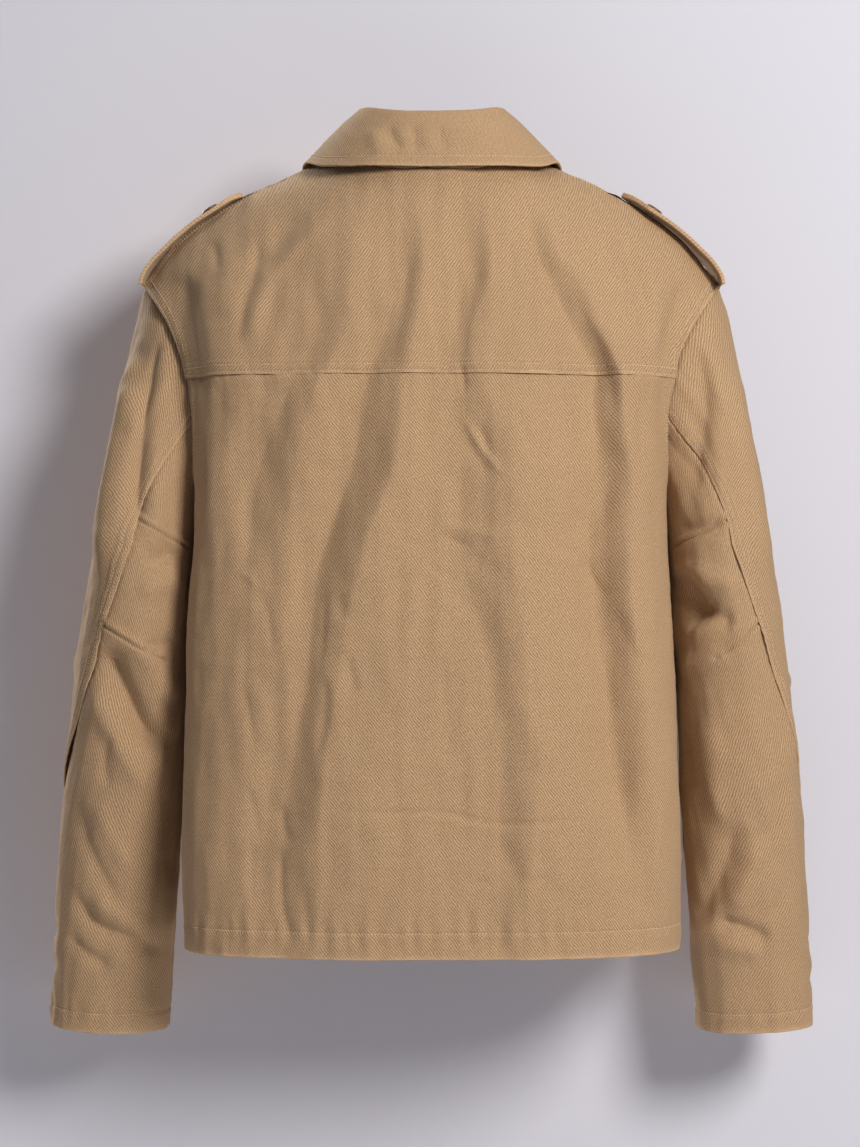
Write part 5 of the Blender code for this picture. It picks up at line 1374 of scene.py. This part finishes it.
def epaulette(name, hand, seed):
    """Epaulette strap, with its stitching."""
    rows = spread(0, 8, n(70), [(8, 0.3, 2.5), (0, 0.2, 1.5)])
    x, z, thick = (strap_at(k, rows) for k in ("x", "z", "thick"))
    half = np.interp(rows, np.arange(9), EPAULETTE["half"])
    across = np.linspace(1, -1, n(34))
    grid = np.zeros((len(rows), len(across), 3))
    grid[..., 0] = x[:, None]
    grid[..., 1] = SHOULDER_Y + half[:, None] * across
    grid[..., 2] = z[:, None] - 0.0012 * across ** 2 * (half[:, None] / half[0])
    turn = unit(np.stack([np.gradient(z), -np.gradient(x)], axis=1))
    turn[turn[:, 1] < 0] *= -1
    up = np.zeros_like(grid)
    up[..., 0], up[..., 2] = turn[:, 0, None], turn[:, 1, None]
    grid, up = for_hand(grid, hand), for_hand(up, hand)
    runs = edge_runs(grid)
    rim = np.minimum(np.minimum(runs["left"], runs["right"]), runs["bottom"])
    high = -0.0003 * bell(rim - STRAP_SEWN, 0.0011) + 0.0003 * bell(rim, 0.004)
    made = two_ply(f"shell_epaulette_{name}", grid, up, thick[:, None] * np.ones(len(across)), seed,
                   relief=high, edge_bulge=0.5, groove=0.22)
    for e, _ in SIDES:
        points, normal = line_beside(made, e, STRAP_SEWN)
        keep = (made["runs"]["bottom"][:, len(across) // 2] > 0.007) & (rows < 6.9)
        sewn["epaulettes"].append((points[keep], normal[keep]))
    return made


BUTTON_RADIUS, BUTTON_TALL, BUTTON_SIDES = 0.0075, 0.0026, 40
# Ring by ring from the middle of the dish over the rim to the back: share of radius and height.
BUTTON_PROFILE = [(0.0, 0.62), (0.30, 0.60), (0.55, 0.62), (0.66, 0.76), (0.76, 0.96), (0.86, 1.04),
                  (0.95, 0.96), (1.0, 0.74), (0.99, 0.45), (0.90, 0.14), (0.78, 0.02), (0.0, 0.0)]
BUTTON_HOLES = np.array([(0.24, 0.24), (-0.24, 0.24), (0.24, -0.24), (-0.24, -0.24)])


def button(side):
    """Four-hole horn button, turned with a rim and a dish, on the place of its node."""
    node = f"epaulette_button_{side}"
    low, high = (np.array(v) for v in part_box(node))
    centre = (low + high) / 2
    rows = np.linspace(5, 6.6, 60)
    xs, zs = strap_at("x", rows), strap_at("z", rows)
    k = int(np.argmin(np.abs(xs - abs(centre[0]))))
    up = unit(np.array([-(zs[k + 1] - zs[k - 1]), 0.0, xs[k + 1] - xs[k - 1]]))
    up = (up if up[2] > 0 else -up) * np.array([1 if centre[0] > 0 else -1, 1, 1])
    east = unit(np.cross(np.array([0.0, 1.0, 0.0]), up))
    north = np.cross(up, east)
    base = centre - up * BUTTON_TALL / 2
    points = []
    for r, h in BUTTON_PROFILE:
        for a in np.arange(BUTTON_SIDES) / BUTTON_SIDES * 2 * math.pi:
            place = east * (r * math.cos(a)) + north * (r * math.sin(a))
            points.append(base + place * BUTTON_RADIUS + up * h * BUTTON_TALL)
    faces = ring_faces(len(BUTTON_PROFILE), BUTTON_SIDES)[:, [0, 3, 2, 1]]
    put_on(make_mesh(f"horn_button_{side}", np.array(points), faces, made_of=HORN),
           node)
    lines = []
    for a, b in ((0, 1), (2, 3), (0, 3), (1, 2)):
        for offset in (-0.0003, 0.0003):
            start, end = BUTTON_HOLES[a] * BUTTON_RADIUS, BUTTON_HOLES[b] * BUTTON_RADIUS
            beside = np.array([-(end - start)[1], (end - start)[0]])
            beside = beside / np.linalg.norm(beside) * offset
            track = []
            for share in np.linspace(0, 1, 9):
                p = start * (1 - share) + end * share + beside
                track.append(base + east * p[0] + north * p[1] + up * (BUTTON_TALL * 0.64))
            lines.append((np.array(track), np.repeat(up[None], 9, axis=0)))
    stitches(f"horn_button_{side}_thread", lines, pitch=0.0017, length=0.0040, radius=0.00030)


straps = {name: epaulette(name, hand, 81 + hand) for name, hand in SIDES}
for name, _ in SIDES:
    button(name)


# ------------------------------------------------------------------ zip
CHAIN_TOP, CHAIN_END = 0.62, 19.48          # rows of the front at the chain's ends
WALL, SEAM = 0.0018, 0.0003
TOOTH_PITCH = 0.0026
TOOTH_OUTLINE = [(-0.0007, -0.00045), (-0.0007, 0.00045), (0.0006, 0.00052), (0.0017, 0.00036),
                 (0.0028, 0.00056), (0.0028, -0.00056), (0.0017, -0.00036), (0.0006, -0.00052)]
TOOTH_LEVELS = [(0.0000, 0.86), (0.00035, 1.0), (0.0015, 1.0), (0.00195, 0.80)]
TOOTH_TOP = [(0, 1, 2, 7), (7, 2, 3, 6), (6, 3, 4, 5)]


def zip_line(rows):
    """Points down the centre front behind the left front's edge, and outward normals."""
    grid = body_surface("front", [FRONT_COLS - 1.0, FRONT_COLS], rows)
    down = np.gradient(grid[:, 1], axis=0)
    down[:, 0] = 0.0
    normal = unit(np.cross(unit(grid[:, 0] - grid[:, 1]), down))
    normal[normal[:, 1] > 0] *= -1
    straight = unit(normal * np.array([0, 1, 1]))
    deep = (WALL + SEAM * 1.2) / np.sum(normal * straight, axis=1, keepdims=True)
    return (grid[:, 1] - straight * deep) * np.array([0, 1, 1]), straight


def teeth():
    """Interlocked teeth of the closed zip: a bead with a waist, on each side in turn."""
    points, out = zip_line(np.linspace(CHAIN_TOP, CHAIN_END, 1200))
    run = run_of(points)
    corners = len(TOOTH_OUTLINE)
    one = np.concatenate([ring_faces(len(TOOTH_LEVELS), corners),
                          np.array(TOOTH_TOP) + (len(TOOTH_LEVELS) - 1) * corners])
    made, faces = [], []
    for number in range(int(run[-1] / (TOOTH_PITCH / 2)) - 2):
        s = (number + 1.5) * TOOTH_PITCH / 2
        at, up = read_at(points, run, s), unit(read_at(out, run, s))
        east = np.array([1.0 if number % 2 else -1.0, 0.0, 0.0])
        along = unit(np.cross(east, up))
        faces.append(one + len(made))
        made += [at + east * a * size + along * b * size + up * (SEAM + high)
                 for high, size in TOOTH_LEVELS for a, b in TOOTH_OUTLINE]
    put_on(make_mesh("zip_teeth", np.array(made), np.concatenate(faces), made_of=METAL,
                     smooth_faces=False), "zip_chain")


teeth()
for node, made_of in (("zip_tape_left", TAPE), ("zip_tape_right", TAPE), ("zip_box", METAL),
                      ("zip_slider", METAL), ("zip_pull", METAL)):
    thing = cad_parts[node]
    thing.data.materials.clear()
    thing.data.materials.append(made_of)
    if made_of is METAL:
        bevel = thing.modifiers.new("soft_edges", "BEVEL")
        bevel.width = 0.00022
        bevel.segments = 2
        bevel.limit_method = "ANGLE"
        bevel.angle_limit = math.radians(40)

# ------------------------------------------------------------------ sheets and sewn lines
# One mesh of stitches for each group of sewn lines.
for group, lines in sewn.items():
    stitches(f"stitches_{group}", lines, seed=len(group))

# Shells by node, with the cloth turned up inside their lower edge.
SHEETS = dict(back_yoke=(yoke, 0.0), back_panel=(panel, HEM_DEPTH))
SHEETS.update({f"front_{name}": (fronts[name], HEM_DEPTH) for name, _ in SIDES})
SHEETS.update({f"sleeve_{part}_{name}": (sleeves[part, name], CUFF_DEPTH)
               for part in ("upper", "under") for name, _ in SIDES})
SHEETS.update(collar_fall=(fall, 0.0), collar_stand=(stand, 0.0))
SHEETS.update({f"epaulette_{name}": (straps[name], 0.0) for name, _ in SIDES})
for node, (shell, turned_up) in SHEETS.items():
    widths, lengths = shell["cut"]["left"][:, -1], shell["cut"]["top"][-1]
    flat = (round(float(np.max(widths)), 3), round(float(np.max(lengths)) + turned_up, 3))
    area = shell["area"] + turned_up * float(np.mean(widths))
    put_on(shell["piece"], node)

# ------------------------------------------------------------------ stage, lights, camera
WALL_Y, FLOOR_Z, FLOOR_HALF = -0.134, -1.10, 1.9


def stage_plane(name, corners, made_of):
    made = make_mesh(name, np.array(corners, float), np.array([[0, 1, 2, 3]]), made_of=made_of,
                     smooth_faces=False)
    return made


def wall_material():
    """Pale paint that can be seen through from behind, so that it never hides the jacket."""
    made = bpy.data.materials.new("painted_wall")
    nodes = Nodes(made)
    value = nodes.grain(nodes.new("TexCoord", {}, "Object"), 2.2, 3.0)
    shader = nodes.feed("Principled BSDF", {
        "Base Color": nodes.ramp(value, (0.3, (0.652, 0.636, 0.684)), (0.7, (0.666, 0.650, 0.700))),
        "Roughness": 0.9, "Specular IOR Level": 0.1})
    behind = nodes.new("NewGeometry", {}, "Backfacing")
    nodes.feed("Material Output", {"Surface": nodes.new("MixShader", {
        0: behind, 1: shader.outputs[0], 2: nodes.new("BsdfTransparent", {})})})
    return made


wall = stage_plane("wall", [(6, WALL_Y, FLOOR_Z), (-6, WALL_Y, FLOOR_Z), (-6, WALL_Y, 4.0),
                            (6, WALL_Y, 4.0)], wall_material())
for kind in ("visible_diffuse", "visible_glossy", "visible_transmission", "visible_shadow"):
    setattr(wall, kind, False)
floor_paint = noise_material("floor_paint", [(0.3, (0.66, 0.65, 0.67)), (0.7, (0.69, 0.68, 0.70))],
                             3.0, 0.85)
stage_plane("floor", [(x * FLOOR_HALF, y * FLOOR_HALF, FLOOR_Z)
                      for x, y in ((-1, -1), (1, -1), (1, 1), (-1, 1))], floor_paint)


def lamp(name, place, size, power, colour):
    light = bpy.data.lights.new(name, "AREA")
    light.shape = "DISK"
    light.size = size
    light.energy = power
    light.color = colour
    thing = bpy.data.objects.new(name, light)
    thing.location = place
    aim = Vector((0.0, 0.0, -0.34)) - Vector(place)
    thing.rotation_euler = aim.to_track_quat("-Z", "Y").to_euler()
    bpy.context.scene.collection.objects.link(thing)


lamp("key", (-1.30, 2.10, 0.72), 0.95, 67.0, (1.0, 0.985, 0.96))
lamp("front", (1.75, -1.90, 0.75), 0.95, 58.0, (1.0, 0.99, 0.975))
lamp("top", (0.0, -0.2, 2.9), 3.0, 34.0, (1.0, 1.0, 1.0))

# The world lights more from behind the camera than from the wall's side, and what is seen
# directly, or in a gloss, is plain.
world = bpy.data.worlds.new("studio")
bpy.context.scene.world = world
nodes = Nodes(world)
axes = nodes.new("SeparateXYZ", {0: nodes.new("TexCoord", {}, "Generated")}, None)
side = nodes.maths("MULTIPLY_ADD", axes[1], 0.5, 0.5)
ground = nodes.feed("Background", {
    "Color": nodes.ramp(side, (0.30, (0.37, 0.40, 0.47)), (0.75, (0.87, 0.95, 1.12))),
    "Strength": 0.155})
ray = nodes.new("LightPath", {}, None)
direct = nodes.maths("MAXIMUM", nodes.maths("MAXIMUM", ray["Is Camera Ray"], ray["Is Glossy Ray"]),
                     ray["Is Transmission Ray"])
seen = nodes.new("Background", {"Color": (0.80, 0.79, 0.82), "Strength": 0.9})
nodes.feed("World Output", {"Surface": nodes.new("MixShader", {
    0: direct, 1: ground.outputs[0], 2: seen})})


camera = bpy.data.cameras.new("camera")
camera.sensor_width = 24.0
camera.lens = 59.1
viewer = bpy.data.objects.new("camera", camera)
viewer.location = (0.0017, 2.35, -0.339)
viewer.rotation_euler = (math.pi / 2, 0.0, math.pi)
bpy.context.scene.collection.objects.link(viewer)
bpy.context.scene.camera = viewer
bpy.context.scene.view_settings.view_transform = "Standard"
